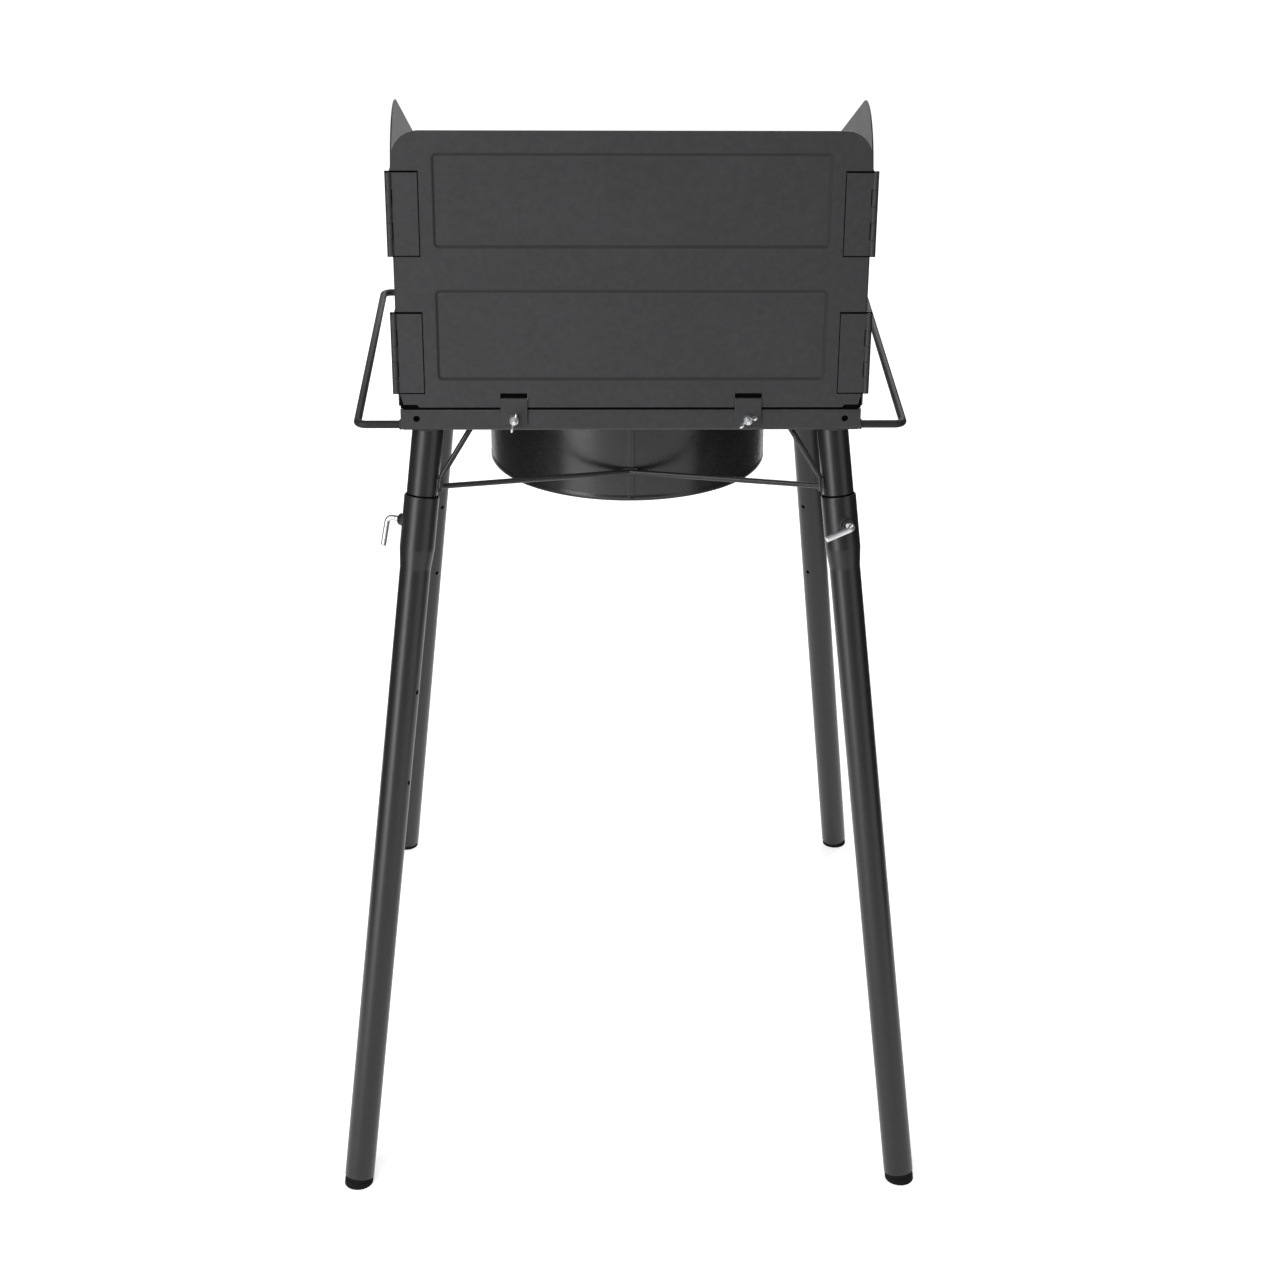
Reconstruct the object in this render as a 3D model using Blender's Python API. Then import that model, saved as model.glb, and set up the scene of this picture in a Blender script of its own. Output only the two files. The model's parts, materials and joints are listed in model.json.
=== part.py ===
"""Single burner gas stove on four slip-on legs, with a folding three-sided windscreen.

Metres, +Z up.  The origin is on the floor, midway between the feet.  The control side faces -Y,
the back of the windscreen faces +Y, and the side handles lie at -X and +X.
"""

import math

import bmesh
import bpy
from mathutils import Matrix, Vector

# Clearances
GAP = 0.0003                    # between pieces that touch
SWING_GAP = 0.0003              # around each knuckle of a wing hinge

# Frame: four folded channels; the front and back webs are full width, the side ones stop at them
FRAME_WIDTH = 0.406
FRAME_DEPTH = 0.420
RAIL_BOTTOM = 0.7260
RAIL_HEIGHT = 0.0205
RAIL_SHEET = 0.0018
RAIL_BEND = 0.0030
RAIL_CORNER = 0.0042            # of a cross rail's lower corners
TOP_FLANGE = 0.014
BOTTOM_FLANGE = 0.036
RAIL_HOLE_INSET = 0.014         # from the frame's side
RAIL_HOLE_Z = 0.0112            # above the rail's lower edge
RAIL_HOLE_RADIUS = 0.003

# Legs
LEG_INSET_X = 0.023             # of the leg's axis at the rail's lower edge, from the frame's side
LEG_INSET_Y = 0.020             # and from its front or back
SPLAY_SIDE = math.radians(6.43)
SPLAY_BACK = math.radians(10.63)
TUBE_RADIUS = 0.0140
TUBE_WALL = 0.0015
SOCKET_CLEARANCE = 0.0003
SOCKET_START = 0.0652           # along the leg axis, from the rail's lower edge
SOCKET_LENGTH = 0.0488
SOCKET_TAPER = 0.0130
LOCK_SCREW_DROP = 0.0257        # below the socket's mouth
LEG_HOLES = (0.2470, 0.3340)    # along the leg axis
LEG_HOLE_RADIUS = 0.0022
LEG_PULL = 0.060                # travel that frees a leg from its stub
FOOT_SHOWING = 0.0075
FOOT_RADIUS = 0.0136
FOOT_PLUG = 0.0160

# Lock screws: a bent rod in a boss that is welded to the socket
SCREW_RADIUS = 0.0026
SCREW_REACH = 0.0185            # from the stub to the middle of the arm
SCREW_ARM = 0.0270
SCREW_BEND = 0.0050
BOSS_RADIUS = 0.0056
BOSS_HEIGHT = 0.0048
SCREW_CLEARANCE = 0.0003

# Bracing rods
BRACE_RADIUS = 0.0025
BRACE_SWING = math.radians(20)   # of a brace's foot round the stub, outwards
CROSS_SWING = math.radians(-25)  # of a long rod's end round the stub, inwards
BRACE_DROP = 0.0455             # of a corner brace's foot, below the rail
BRACE_RUN = 0.0390              # of its head, inwards from the leg axis
CROSS_DROP = 0.0585             # of the two long rods, below the rail

# Side handles
HANDLE_RADIUS = 0.0035
HANDLE_BACK_REACH = 0.0389      # beyond the frame's side, at the back
HANDLE_FRONT_REACH = 0.0475     # and at the front
HANDLE_INSET = 0.0045           # of its ends, from the frame's front and back
HANDLE_RISE = 0.0045            # above the rail's lower edge
HANDLE_BEND = 0.0085

# Wind guard drum around the burner
DRUM_Y = 0.0236
DRUM_RADIUS = 0.1320
DRUM_WALL = 0.0015
DRUM_BOTTOM = 0.0880            # below the rail's lower edge
DRUM_HEM = 0.0040
DRUM_WINDOW = 0.0400            # opening for the mixing tube

# Cooking grate of flat bars on edge
GRATE_BAR = 0.0040
GRATE_DEPTH = 0.0100            # below the frame's top
GRATE_RISE = 0.0060             # above the frame's top
GRATE_EAR = 0.0100              # that rests on a flange
GRATE_LONG_BARS = 6
GRATE_MARGIN = 0.048            # from the frame's side to the outer bars
GRATE_CROSS_Y = 0.095

# Burner: a cast bowl with its mixing tube, and a lid with a ring of ports
BURNER_RADIUS = 0.056
BURNER_RIM = 0.0420             # of the bowl's rim, below the frame's top
BOWL_HEIGHT = 0.026
BOWL_FLOOR_RADIUS = 0.034
BOWL_WALL = 0.0040
LID_HEIGHT = 0.0090
PORTS = 24
PORT_WIDTH = 0.0026
PORT_HEIGHT = 0.0030
TUBE_AXIS_DROP = 0.0125         # of the mixing tube's axis, below the bowl's rim
MIX_RADIUS = 0.0110
MIX_BELL = 0.0165
MIX_WALL = 0.0025
MIX_MOUTH_INSET = 0.060         # behind the frame's front
BELL_LENGTH = 0.022
STRAP_WIDTH = 0.022
STRAP_SHEET = 0.0025
STRAP_TAB = 0.014
BURNER_BOLT_RADIUS = 0.0030
SHUTTER_SHEET = 0.0012
SHUTTER_WINDOW = 0.0038
SHUTTER_WINDOW_RING = 0.0098

# Control panel, valve and knob
PANEL_WIDTH = 0.150
PANEL_DROP = 0.0640
PANEL_SETBACK = 0.0025
PANEL_SHEET = 0.0015
PANEL_FLANGE = 0.030
VALVE_RADIUS = 0.0110
VALVE_LENGTH = 0.0300
NECK_RADIUS = 0.0060
NECK_LENGTH = 0.0090
STEM_RADIUS = 0.0030
STEM_CLEARANCE = 0.0004
STEM_REACH = 0.0220             # in front of the panel
JET_RADIUS = 0.0050
KNOB_RADIUS = 0.0210
KNOB_SKIRT = 0.0050
KNOB_GRIP = 0.0150
KNOB_GRIP_WIDTH = 0.0100
KNOB_STANDOFF = 0.0030
PANEL_NUT = 0.0030
INLET_RADIUS = 0.0066
INLET_LENGTH = 0.0240
INLET_HEX = 0.0085

# Windscreen
SCREEN_SHEET = 0.0012
SCREEN_LIFT = 0.0012            # of its lower edge, above the frame
SCREEN_HEIGHT = 0.2435          # of the back panel
SCREEN_CORNER = 0.0240
SCREEN_CHAMFER_X = 0.0030
SCREEN_CHAMFER_Z = 0.0140
SCREEN_NOTCH_X = 0.0170
SCREEN_NOTCH_Z = 0.0025
PRESSING_MARGIN = 0.0340        # from the panel's side edges
PRESSINGS = ((0.0192, 0.1002), (0.1376, 0.2182))    # below the back panel's top
PRESSING_DEPTH = 0.0008
PRESSING_FLANK = 0.0016
WING_LENGTH = 0.370
WING_SHOULDER = 0.0625          # radius of the high rear corner
WING_PEAK = 0.0391              # of the uncut rear corner, above the back panel's top
WING_SLOPE = math.radians(20.35)
WING_CORNER = 0.0240
WING_TOE = 0.0060
WING_LIFT = 0.0018
LIFT_OFF = 0.060                # travel that frees the windscreen

# Wing hinges: leaves on the outer faces, knuckles on a pin outside the corner
LEAF_SHEET = 0.0010
LEAF_WIDTH = 0.0243
LEAF_HEIGHT = 0.0715
HINGE_TOPS = (0.0352, 0.1582)   # below the back panel's top
KNUCKLES = 5
KNUCKLE_RADIUS = 0.0024
KNUCKLE_BORE = 0.0015
HINGE_PIN_RADIUS = 0.0012
HINGE_PIN_HEAD = 0.0007

# Clips that hang the windscreen on the back rail, with their bolts and wing nuts
CLIP_INSET = 0.1000             # from the frame's side
CLIP_WIDTH = 0.0235
CLIP_SHEET = 0.0015
CLIP_BOTTOM = 0.0060            # above the rail's lower edge
CLIP_TOP = 0.0304
CLIP_SLOT_TOP = 0.0347
CLIP_TONGUE = 0.0151
CLIP_CORNER = 0.0030
BOLT_Z = 0.0117
BOLT_RADIUS = 0.0025
BOLT_CLEARANCE = 0.0003
BOLT_HEAD_RADIUS = 0.0045
BOLT_HEAD = 0.0028
BOLT_REACH = 0.0115             # beyond the clip
NUT_HUB = 0.0042
NUT_TOP = 0.0037
NUT_LENGTH = 0.0065
NUT_SPAN = 0.0185
NUT_WING_SHEET = 0.0018
NUT_WING_RISE = 0.0060
NUT_TURN = {1: math.radians(75), -1: math.radians(31)}

# Facets
TUBE_SIDES = 24
DRUM_SIDES = 56
SMALL_SIDES = 12

# Sizes that follow from the ones above
FRAME_TOP = RAIL_BOTTOM + RAIL_HEIGHT
HALF_WIDTH = FRAME_WIDTH / 2
HALF_DEPTH = FRAME_DEPTH / 2
GRATE_PITCH = (FRAME_WIDTH - 2 * GRATE_MARGIN) / (GRATE_LONG_BARS - 1)
RAIL_HOLE_X = HALF_WIDTH - RAIL_HOLE_INSET
LEG_TOP_X = HALF_WIDTH - LEG_INSET_X
LEG_TOP_Y = HALF_DEPTH - LEG_INSET_Y
SOCKET_RADIUS = TUBE_RADIUS + SOCKET_CLEARANCE
SOCKET_OUTER = SOCKET_RADIUS + TUBE_WALL
SLANT = Vector((math.tan(SPLAY_SIDE), math.tan(SPLAY_BACK), -1.0))
LEG_LENGTH = RAIL_BOTTOM * SLANT.length
SCREW_S = SOCKET_START + LOCK_SCREW_DROP
BURNER_RIM_Z = FRAME_TOP - BURNER_RIM
MIX_Z = BURNER_RIM_Z - TUBE_AXIS_DROP
BOWL_BOTTOM_Z = BURNER_RIM_Z - BOWL_HEIGHT
MIX_MOUTH_Y = -HALF_DEPTH + MIX_MOUTH_INSET
PANEL_Y = -HALF_DEPTH + PANEL_SETBACK
PANEL_BACK_Y = PANEL_Y + PANEL_SHEET
SCREEN_BOTTOM_Z = FRAME_TOP + SCREEN_LIFT
SCREEN_TOP_Z = SCREEN_BOTTOM_Z + SCREEN_HEIGHT
HINGE_OFFSET = GAP + LEAF_SHEET + SWING_GAP / 2
HINGE_Y = HALF_DEPTH + HINGE_OFFSET
HINGE_X = HALF_WIDTH + KNUCKLE_RADIUS + SWING_GAP
PRESSING_HALF_WIDTH = HALF_WIDTH - PRESSING_MARGIN
CLIP_X = HALF_WIDTH - CLIP_INSET
BOLT_HEIGHT_Z = RAIL_BOTTOM + BOLT_Z
CLIP_FACE_Y = HALF_DEPTH + GAP + CLIP_SHEET


# Scene and materials

def clear_scene():
    for item in list(bpy.data.objects):
        bpy.data.objects.remove(item, do_unlink=True)


def finish(name, colour, roughness, metallic=0.0):
    made = bpy.data.materials.new(name)
    made.use_nodes = True
    shader = made.node_tree.nodes["Principled BSDF"]
    shader.inputs["Base Color"].default_value = (*colour, 1.0)
    shader.inputs["Roughness"].default_value = roughness
    shader.inputs["Metallic"].default_value = metallic
    made.diffuse_color = (*colour, 1.0)
    return made


# Meshes

def add_object(name, mesh, material=None, frame=None):
    made = bpy.data.objects.new(name, mesh)
    bpy.context.scene.collection.objects.link(made)
    if material:
        mesh.materials.append(material)
    if frame:
        made.matrix_world = frame
    return made


def solid(name, bm, material=None, frame=None, smooth=30):
    bmesh.ops.recalc_face_normals(bm, faces=bm.faces)
    mesh = bpy.data.meshes.new(name)
    bm.to_mesh(mesh)
    bm.free()
    if smooth:
        mesh.shade_smooth()
        mesh.set_sharp_from_angle(angle=math.radians(smooth))
    return add_object(name, mesh, material, frame)


def prism_into(bm, outline, start, end, place):
    """Extrude a flat outline of (a, b) points from start to end; place maps (a, b, c) to 3-D."""
    low = [bm.verts.new(place(a, b, start)) for a, b in outline]
    high = [bm.verts.new(place(a, b, end)) for a, b in outline]
    bm.faces.new(low)
    bm.faces.new(high)
    for i in range(len(outline)):
        j = (i + 1) % len(outline)
        bm.faces.new((low[i], low[j], high[j], high[i]))


def prism(name, outline, start, end, place, material=None, frame=None, smooth=30):
    bm = bmesh.new()
    prism_into(bm, outline, start, end, place)
    return solid(name, bm, material, frame, smooth)


def lathe_into(bm, profile, sides, place=None):
    """Turn a profile of (radius, height) points about the Z axis.

    A profile that leaves the axis and returns to it makes a full body; any other is a ring.
    """
    place = place or (lambda x, y, z: (x, y, z))
    rings = []
    for radius, height in profile:
        if radius == 0:
            rings.append([bm.verts.new(place(0, 0, height))])
            continue
        ring = []
        for i in range(sides):
            turn = 2 * math.pi * i / sides
            ring.append(bm.verts.new(place(radius * math.cos(turn), radius * math.sin(turn), height)))
        rings.append(ring)
    open_ended = len(rings[0]) == 1
    for k in range(len(rings) - (1 if open_ended else 0)):
        first, second = rings[k], rings[(k + 1) % len(rings)]
        for i in range(sides):
            j = (i + 1) % sides
            if len(first) == 1:
                bm.faces.new((first[0], second[i], second[j]))
            elif len(second) == 1:
                bm.faces.new((first[i], second[0], first[j]))
            else:
                bm.faces.new((first[i], second[i], second[j], first[j]))


def lathe(name, profile, sides, material=None, frame=None, place=None, smooth=30):
    bm = bmesh.new()
    lathe_into(bm, profile, sides, place)
    return solid(name, bm, material, frame, smooth)


def box_into(bm, low, high):
    prism_into(bm, [(low[0], low[1]), (high[0], low[1]), (high[0], high[1]), (low[0], high[1])],
               low[2], high[2], lambda a, b, c: (a, b, c))


def cylinder_profile(radius, low, high):
    return [(0, low), (radius, low), (radius, high), (0, high)]


def along_y(x, z):
    """Place a turned shape with its axis along +Y, through (x, z)."""
    return lambda a, b, c: (x + b, c, z + a)


def arc(centre, radius, start, end, steps):
    """Points of an arc from start to end, in degrees."""
    points = []
    for i in range(steps + 1):
        turn = math.radians(start + (end - start) * i / steps)
        points.append((centre[0] + radius * math.cos(turn), centre[1] + radius * math.sin(turn)))
    return points


def round_corner(before, corner, after, radius, steps):
    """Points of the arc that rounds one corner of a path, in 2-D or 3-D."""
    p, c, q = Vector(before), Vector(corner), Vector(after)
    u, v = (p - c).normalized(), (q - c).normalized()
    half = u.angle(v) / 2
    bisector = (u + v).normalized()
    centre = c + bisector * (radius / math.sin(half))
    start = c + u * (radius / math.tan(half)) - centre
    end = c + v * (radius / math.tan(half)) - centre
    span = start.angle(end)
    points = []
    for i in range(steps + 1):
        t = i / steps
        mixed = start * math.sin((1 - t) * span) + end * math.sin(t * span)
        points.append(centre + mixed / math.sin(span))
    return points


def rounded_outline(corners, steps=4):
    """A closed outline from (a, b, radius) corners."""
    points = []
    for i, (a, b, radius) in enumerate(corners):
        before, after = corners[i - 1][:2], corners[(i + 1) % len(corners)][:2]
        if radius:
            points += [tuple(p) for p in round_corner(before, (a, b), after, radius, steps)]
        else:
            points.append((a, b))
    return points


def rounded_path(corners, radius, steps=4):
    """An open 3-D path through corners, with its inner ones rounded."""
    points = [Vector(corners[0])]
    for before, corner, after in zip(corners, corners[1:], corners[2:]):
        points += round_corner(before, corner, after, radius, steps)
    return points + [Vector(corners[-1])]


def rod(name, points, radius, material, frame=None, resolution=3):
    """A round rod along points, closed at both ends."""
    curve = bpy.data.curves.new(name, "CURVE")
    curve.dimensions = "3D"
    curve.bevel_depth = radius
    curve.bevel_resolution = resolution
    curve.use_fill_caps = True
    spline = curve.splines.new("POLY")
    spline.points.add(len(points) - 1)
    for point, place in zip(spline.points, points):
        point.co = (*place, 1.0)
    curve.materials.append(material)
    made = bpy.data.objects.new(name, curve)
    bpy.context.scene.collection.objects.link(made)
    if frame:
        made.matrix_world = frame
    return made


def boolean(target, tool, operation):
    tool.hide_render = True
    tool.display_type = "WIRE"
    step = target.modifiers.new(tool.name, "BOOLEAN")
    step.operation = operation
    step.solver = "EXACT"
    step.object = tool


def cut(target, tool):
    boolean(target, tool, "DIFFERENCE")


def fuse(target, tool):
    boolean(target, tool, "UNION")


# Frame

def channel_section():
    """Section of a rail: (distance inwards from its outer face, height above its lower edge)."""
    inner = RAIL_BEND - RAIL_SHEET
    return rounded_outline([
        (TOP_FLANGE, RAIL_HEIGHT, 0),
        (0, RAIL_HEIGHT, RAIL_BEND),
        (0, 0, RAIL_BEND),
        (BOTTOM_FLANGE, 0, 0),
        (BOTTOM_FLANGE, RAIL_SHEET, 0),
        (RAIL_SHEET, RAIL_SHEET, inner),
        (RAIL_SHEET, RAIL_HEIGHT - RAIL_SHEET, inner),
        (TOP_FLANGE, RAIL_HEIGHT - RAIL_SHEET, 0)], steps=3)


def cross_rail(name, side, black):
    """Front or back rail; side is -1 at the front and +1 at the back.

    Its web is as wide as the frame, with rounded lower corners; its flanges stop at the side rails.
    """
    rail = prism(name, channel_section(), -HALF_WIDTH, HALF_WIDTH,
                 lambda a, b, c: (c, side * (HALF_DEPTH - a), RAIL_BOTTOM + b), black)
    web_y = side * (HALF_DEPTH - RAIL_SHEET)
    ys = sorted((web_y, side * (HALF_DEPTH - BOTTOM_FLANGE - GAP)))
    outer_y = sorted((side * (HALF_DEPTH - BOTTOM_FLANGE), side * (HALF_DEPTH + GAP)))
    bm = bmesh.new()
    for hand in (-1, 1):
        edge = hand * (HALF_WIDTH + GAP)
        xs = sorted((hand * (HALF_WIDTH - RAIL_SHEET - GAP), edge))
        box_into(bm, (xs[0], ys[0], RAIL_BOTTOM - GAP), (xs[1], ys[1], FRAME_TOP + GAP))
    cut(rail, solid(name + "_flange_ends", bm))
    bm = bmesh.new()
    for hand in (-1, 1):
        edge = hand * (HALF_WIDTH + GAP)
        inner = hand * (HALF_WIDTH - RAIL_CORNER)
        points = [(edge, RAIL_BOTTOM + RAIL_CORNER)]
        points += arc((inner, RAIL_BOTTOM + RAIL_CORNER), RAIL_CORNER, 0 if hand > 0 else 180,
                      -90 if hand > 0 else 270, 4)
        points += [(inner, RAIL_BOTTOM - GAP), (edge, RAIL_BOTTOM - GAP)]
        prism_into(bm, points, outer_y[0], outer_y[1], lambda a, b, c: (a, c, b))
    cut(rail, solid(name + "_corners", bm))
    return rail


def drill_back_rail(rail):
    bm = bmesh.new()
    for x in (-RAIL_HOLE_X, RAIL_HOLE_X):
        lathe_into(bm, cylinder_profile(RAIL_HOLE_RADIUS, HALF_DEPTH - RAIL_BEND, HALF_DEPTH + RAIL_BEND),
                   SMALL_SIDES, along_y(x, RAIL_BOTTOM + RAIL_HOLE_Z))
    for x in (-CLIP_X, CLIP_X):
        lathe_into(bm, cylinder_profile(BOLT_RADIUS + BOLT_CLEARANCE, HALF_DEPTH - RAIL_BEND,
                                        HALF_DEPTH + RAIL_BEND), SMALL_SIDES, along_y(x, BOLT_HEIGHT_Z))
    cut(rail, solid("back_rail_holes", bm))


def side_rail(name, side, black):
    """Left or right rail, between the cross rails' webs; its flanges stop at their flanges."""
    reach = HALF_DEPTH - RAIL_SHEET - GAP
    rail = prism(name, channel_section(), -reach, reach,
                 lambda a, b, c: (side * (HALF_WIDTH - a), c, RAIL_BOTTOM + b), black)
    inner = HALF_WIDTH - RAIL_SHEET
    bm = bmesh.new()
    for end in (-1, 1):
        ys = sorted((end * (HALF_DEPTH - BOTTOM_FLANGE - GAP), end * (HALF_DEPTH + GAP)))
        xs = sorted((side * (HALF_WIDTH - 2 * BOTTOM_FLANGE), side * inner))
        box_into(bm, (xs[0], ys[0], RAIL_BOTTOM - GAP), (xs[1], ys[1], FRAME_TOP + GAP))
    cut(rail, solid(name + "_notches", bm))
    return rail


def handle(name, side, black):
    z = RAIL_BOTTOM + HANDLE_RISE
    rail_face = side * (HALF_WIDTH + GAP)
    end_y = HALF_DEPTH - HANDLE_INSET
    path = rounded_path([(rail_face, end_y, z),
                         (side * (HALF_WIDTH + HANDLE_BACK_REACH), end_y, z),
                         (side * (HALF_WIDTH + HANDLE_FRONT_REACH), -end_y, z),
                         (rail_face, -end_y, z)], HANDLE_BEND, steps=5)
    return rod(name, path, HANDLE_RADIUS, black, resolution=4)


def grate(black):
    """Flat bars on edge: long ones front to back, two across, welded where they cross."""
    ear_y = HALF_DEPTH - TOP_FLANGE + GRATE_EAR
    body_y = HALF_DEPTH - TOP_FLANGE - GAP
    low, seat, top = FRAME_TOP - GRATE_DEPTH, FRAME_TOP + GAP, FRAME_TOP + GRATE_RISE
    long_bar = [(-body_y, low), (body_y, low), (body_y, seat), (ear_y, seat), (ear_y, top),
                (-ear_y, top), (-ear_y, seat), (-body_y, seat)]
    bm = bmesh.new()
    for i in range(GRATE_LONG_BARS):
        x = (i - (GRATE_LONG_BARS - 1) / 2) * GRATE_PITCH
        prism_into(bm, long_bar, x - GRATE_BAR / 2, x + GRATE_BAR / 2, lambda a, b, c: (c, a, b))
    made = solid("cooking_grate", bm, black)
    ear_x = HALF_WIDTH - TOP_FLANGE + GRATE_EAR
    body_x = HALF_WIDTH - TOP_FLANGE - GAP
    cross = [(-body_x, low), (body_x, low), (body_x, seat), (ear_x, seat), (ear_x, top),
             (-ear_x, top), (-ear_x, seat), (-body_x, seat)]
    bm = bmesh.new()
    for y in (DRUM_Y - GRATE_CROSS_Y, DRUM_Y + GRATE_CROSS_Y):
        prism_into(bm, cross, y - GRATE_BAR / 2, y + GRATE_BAR / 2, lambda a, b, c: (a, c, b))
    fuse(made, solid("grate_cross_bars", bm))
    return made


# Legs

def leg_frame(side_x, side_y):
    """Frame of a leg: origin on its axis at the rail's lower edge, +Z up the leg."""
    up = -Vector((side_x * SLANT.x, side_y * SLANT.y, SLANT.z)).normalized()
    out = Vector((1, 0, 0))
    across = up.cross(out).normalized()
    out = across.cross(up)
    frame = Matrix((out, across, up)).transposed().to_4x4()
    frame.translation = (side_x * LEG_TOP_X, side_y * LEG_TOP_Y, RAIL_BOTTOM)
    return frame


def turned(frame, degrees):
    return frame @ Matrix.Rotation(math.radians(degrees), 4, "Z")


def tube_profile(radius, wall, low, high):
    return [(radius, low), (radius, high), (radius - wall, high), (radius - wall, low)]


def leg_stub(name, frame, black):
    """Short tube welded under the frame; the leg slips over it."""
    end = -(SOCKET_START + SOCKET_LENGTH - GAP)
    made = lathe(name, tube_profile(TUBE_RADIUS, TUBE_WALL, end, TUBE_RADIUS), TUBE_SIDES, black, frame)
    bm = bmesh.new()
    centre = frame.translation
    box_into(bm, (centre.x - 0.05, centre.y - 0.05, RAIL_BOTTOM - GAP),
             (centre.x + 0.05, centre.y + 0.05, RAIL_BOTTOM + 0.05))
    cut(made, solid(name + "_top_trim", bm))
    return made


def radial(height):
    """Place a turned shape with its axis along the leg's local +X, at a height on the leg."""
    return lambda a, b, c: (c, a, height + b)


def leg(name, frame, black):
    """Leg tube with its widened socket, the screw's boss and two holes on the far side."""
    mouth = -SOCKET_START
    shoulder = mouth - SOCKET_LENGTH
    neck = shoulder - SOCKET_TAPER
    end = -(LEG_LENGTH - FOOT_SHOWING)
    outer = [(SOCKET_OUTER, mouth), (SOCKET_OUTER, shoulder), (TUBE_RADIUS, neck), (TUBE_RADIUS, end)]
    inner = [(radius - TUBE_WALL, z) for radius, z in reversed(outer)]
    made = lathe(name, outer + inner, TUBE_SIDES, black, frame)
    face = SOCKET_OUTER - TUBE_WALL / 2
    crown = SOCKET_OUTER + BOSS_HEIGHT
    boss = [(0, face), (BOSS_RADIUS, face), (BOSS_RADIUS, crown - 0.0015), (BOSS_RADIUS - 0.0015, crown),
            (0, crown)]
    fuse(made, lathe(name + "_boss", boss, SMALL_SIDES, None, frame, radial(-SCREW_S)))
    bm = bmesh.new()
    lathe_into(bm, cylinder_profile(SCREW_RADIUS + SCREW_CLEARANCE, TUBE_RADIUS / 2, crown + GAP),
               SMALL_SIDES, radial(-SCREW_S))
    for s in LEG_HOLES:
        lathe_into(bm, cylinder_profile(LEG_HOLE_RADIUS, -TUBE_RADIUS - GAP, -TUBE_RADIUS / 2),
                   SMALL_SIDES, radial(-s))
    cut(made, solid(name + "_holes", bm, None, frame))
    return made


def foot(name, frame, rubber):
    """Rubber foot: a plug inside the tube and a cap below it, cut flat where it stands."""
    end = -(LEG_LENGTH - FOOT_SHOWING)
    plug = TUBE_RADIUS - TUBE_WALL - GAP
    profile = [(0, end + FOOT_PLUG), (plug - 0.001, end + FOOT_PLUG), (plug, end + FOOT_PLUG - 0.001),
               (plug, end - GAP), (FOOT_RADIUS, end - GAP), (FOOT_RADIUS, end - 2 * FOOT_SHOWING),
               (0, end - 2 * FOOT_SHOWING)]
    made = lathe(name, profile, TUBE_SIDES, rubber, frame)
    floor = frame.inverted() @ Matrix.Translation((0, 0, 0))
    normal = (frame.to_3x3().inverted() @ Vector((0, 0, 1))).normalized()
    bm = bmesh.new()
    bm.from_mesh(made.data)
    bmesh.ops.bisect_plane(bm, geom=bm.verts[:] + bm.edges[:] + bm.faces[:], plane_co=floor.translation,
                           plane_no=normal, clear_inner=True)
    bmesh.ops.holes_fill(bm, edges=[e for e in bm.edges if e.is_boundary])
    bmesh.ops.recalc_face_normals(bm, faces=bm.faces)
    bm.to_mesh(made.data)
    bm.free()
    return made


def lock_screw(name, frame, arm_turn, zinc):
    """L-shaped rod; arm_turn is the arm's angle about the shaft, 0 where it hangs down the leg."""
    start = TUBE_RADIUS + GAP
    reach = start + SCREW_REACH
    arm = Vector((0, math.sin(arm_turn), -math.cos(arm_turn))) * SCREW_ARM
    z = Vector((0, 0, -SCREW_S))
    path = rounded_path([Vector((start, 0, 0)) + z, Vector((reach, 0, 0)) + z,
                         Vector((reach, 0, 0)) + arm + z], SCREW_BEND, steps=4)
    return rod(name, path, SCREW_RADIUS, zinc, frame, resolution=2)


def stub_side(side_x, side_y, drop, swing):
    """Axis of a rod that lies against a stub's inner side, at a drop below the rail."""
    clear = TUBE_RADIUS / math.cos(SPLAY_SIDE) + BRACE_RADIUS + GAP
    x = LEG_TOP_X + drop * SLANT.x - clear * math.cos(swing)
    y = LEG_TOP_Y + drop * SLANT.y + clear * math.sin(swing)
    return Vector((side_x * x, side_y * y, RAIL_BOTTOM - drop))


def corner_brace(name, side_x, side_y, black):
    """Rod from the inner side of a stub up to the cross rail's flange."""
    low = stub_side(side_x, side_y, BRACE_DROP + 0.010, BRACE_SWING)
    knee = stub_side(side_x, side_y, BRACE_DROP, BRACE_SWING)
    head = Vector((side_x * (LEG_TOP_X - BRACE_RUN), side_y * LEG_TOP_Y, RAIL_BOTTOM - GAP))
    lean = (head - knee).angle(Vector((0, 0, 1)))
    head.z -= BRACE_RADIUS * math.sin(lean)
    return rod(name, rounded_path([low, knee, head], 0.006, steps=3), BRACE_RADIUS, black)


def cross_rod(name, side_y, black):
    """Long rod from stub to stub, bent to a shallow V whose point is welded to the drum."""
    point = Vector((0, DRUM_Y + side_y * (DRUM_RADIUS + BRACE_RADIUS + GAP / 2), RAIL_BOTTOM - CROSS_DROP))
    path = [stub_side(-1, side_y, CROSS_DROP + 0.0045, CROSS_SWING),
            stub_side(-1, side_y, CROSS_DROP, CROSS_SWING),
            point,
            stub_side(1, side_y, CROSS_DROP, CROSS_SWING),
            stub_side(1, side_y, CROSS_DROP + 0.0045, CROSS_SWING)]
    return rod(name, rounded_path(path, 0.0035, steps=3), BRACE_RADIUS, black)


# Burner

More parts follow.
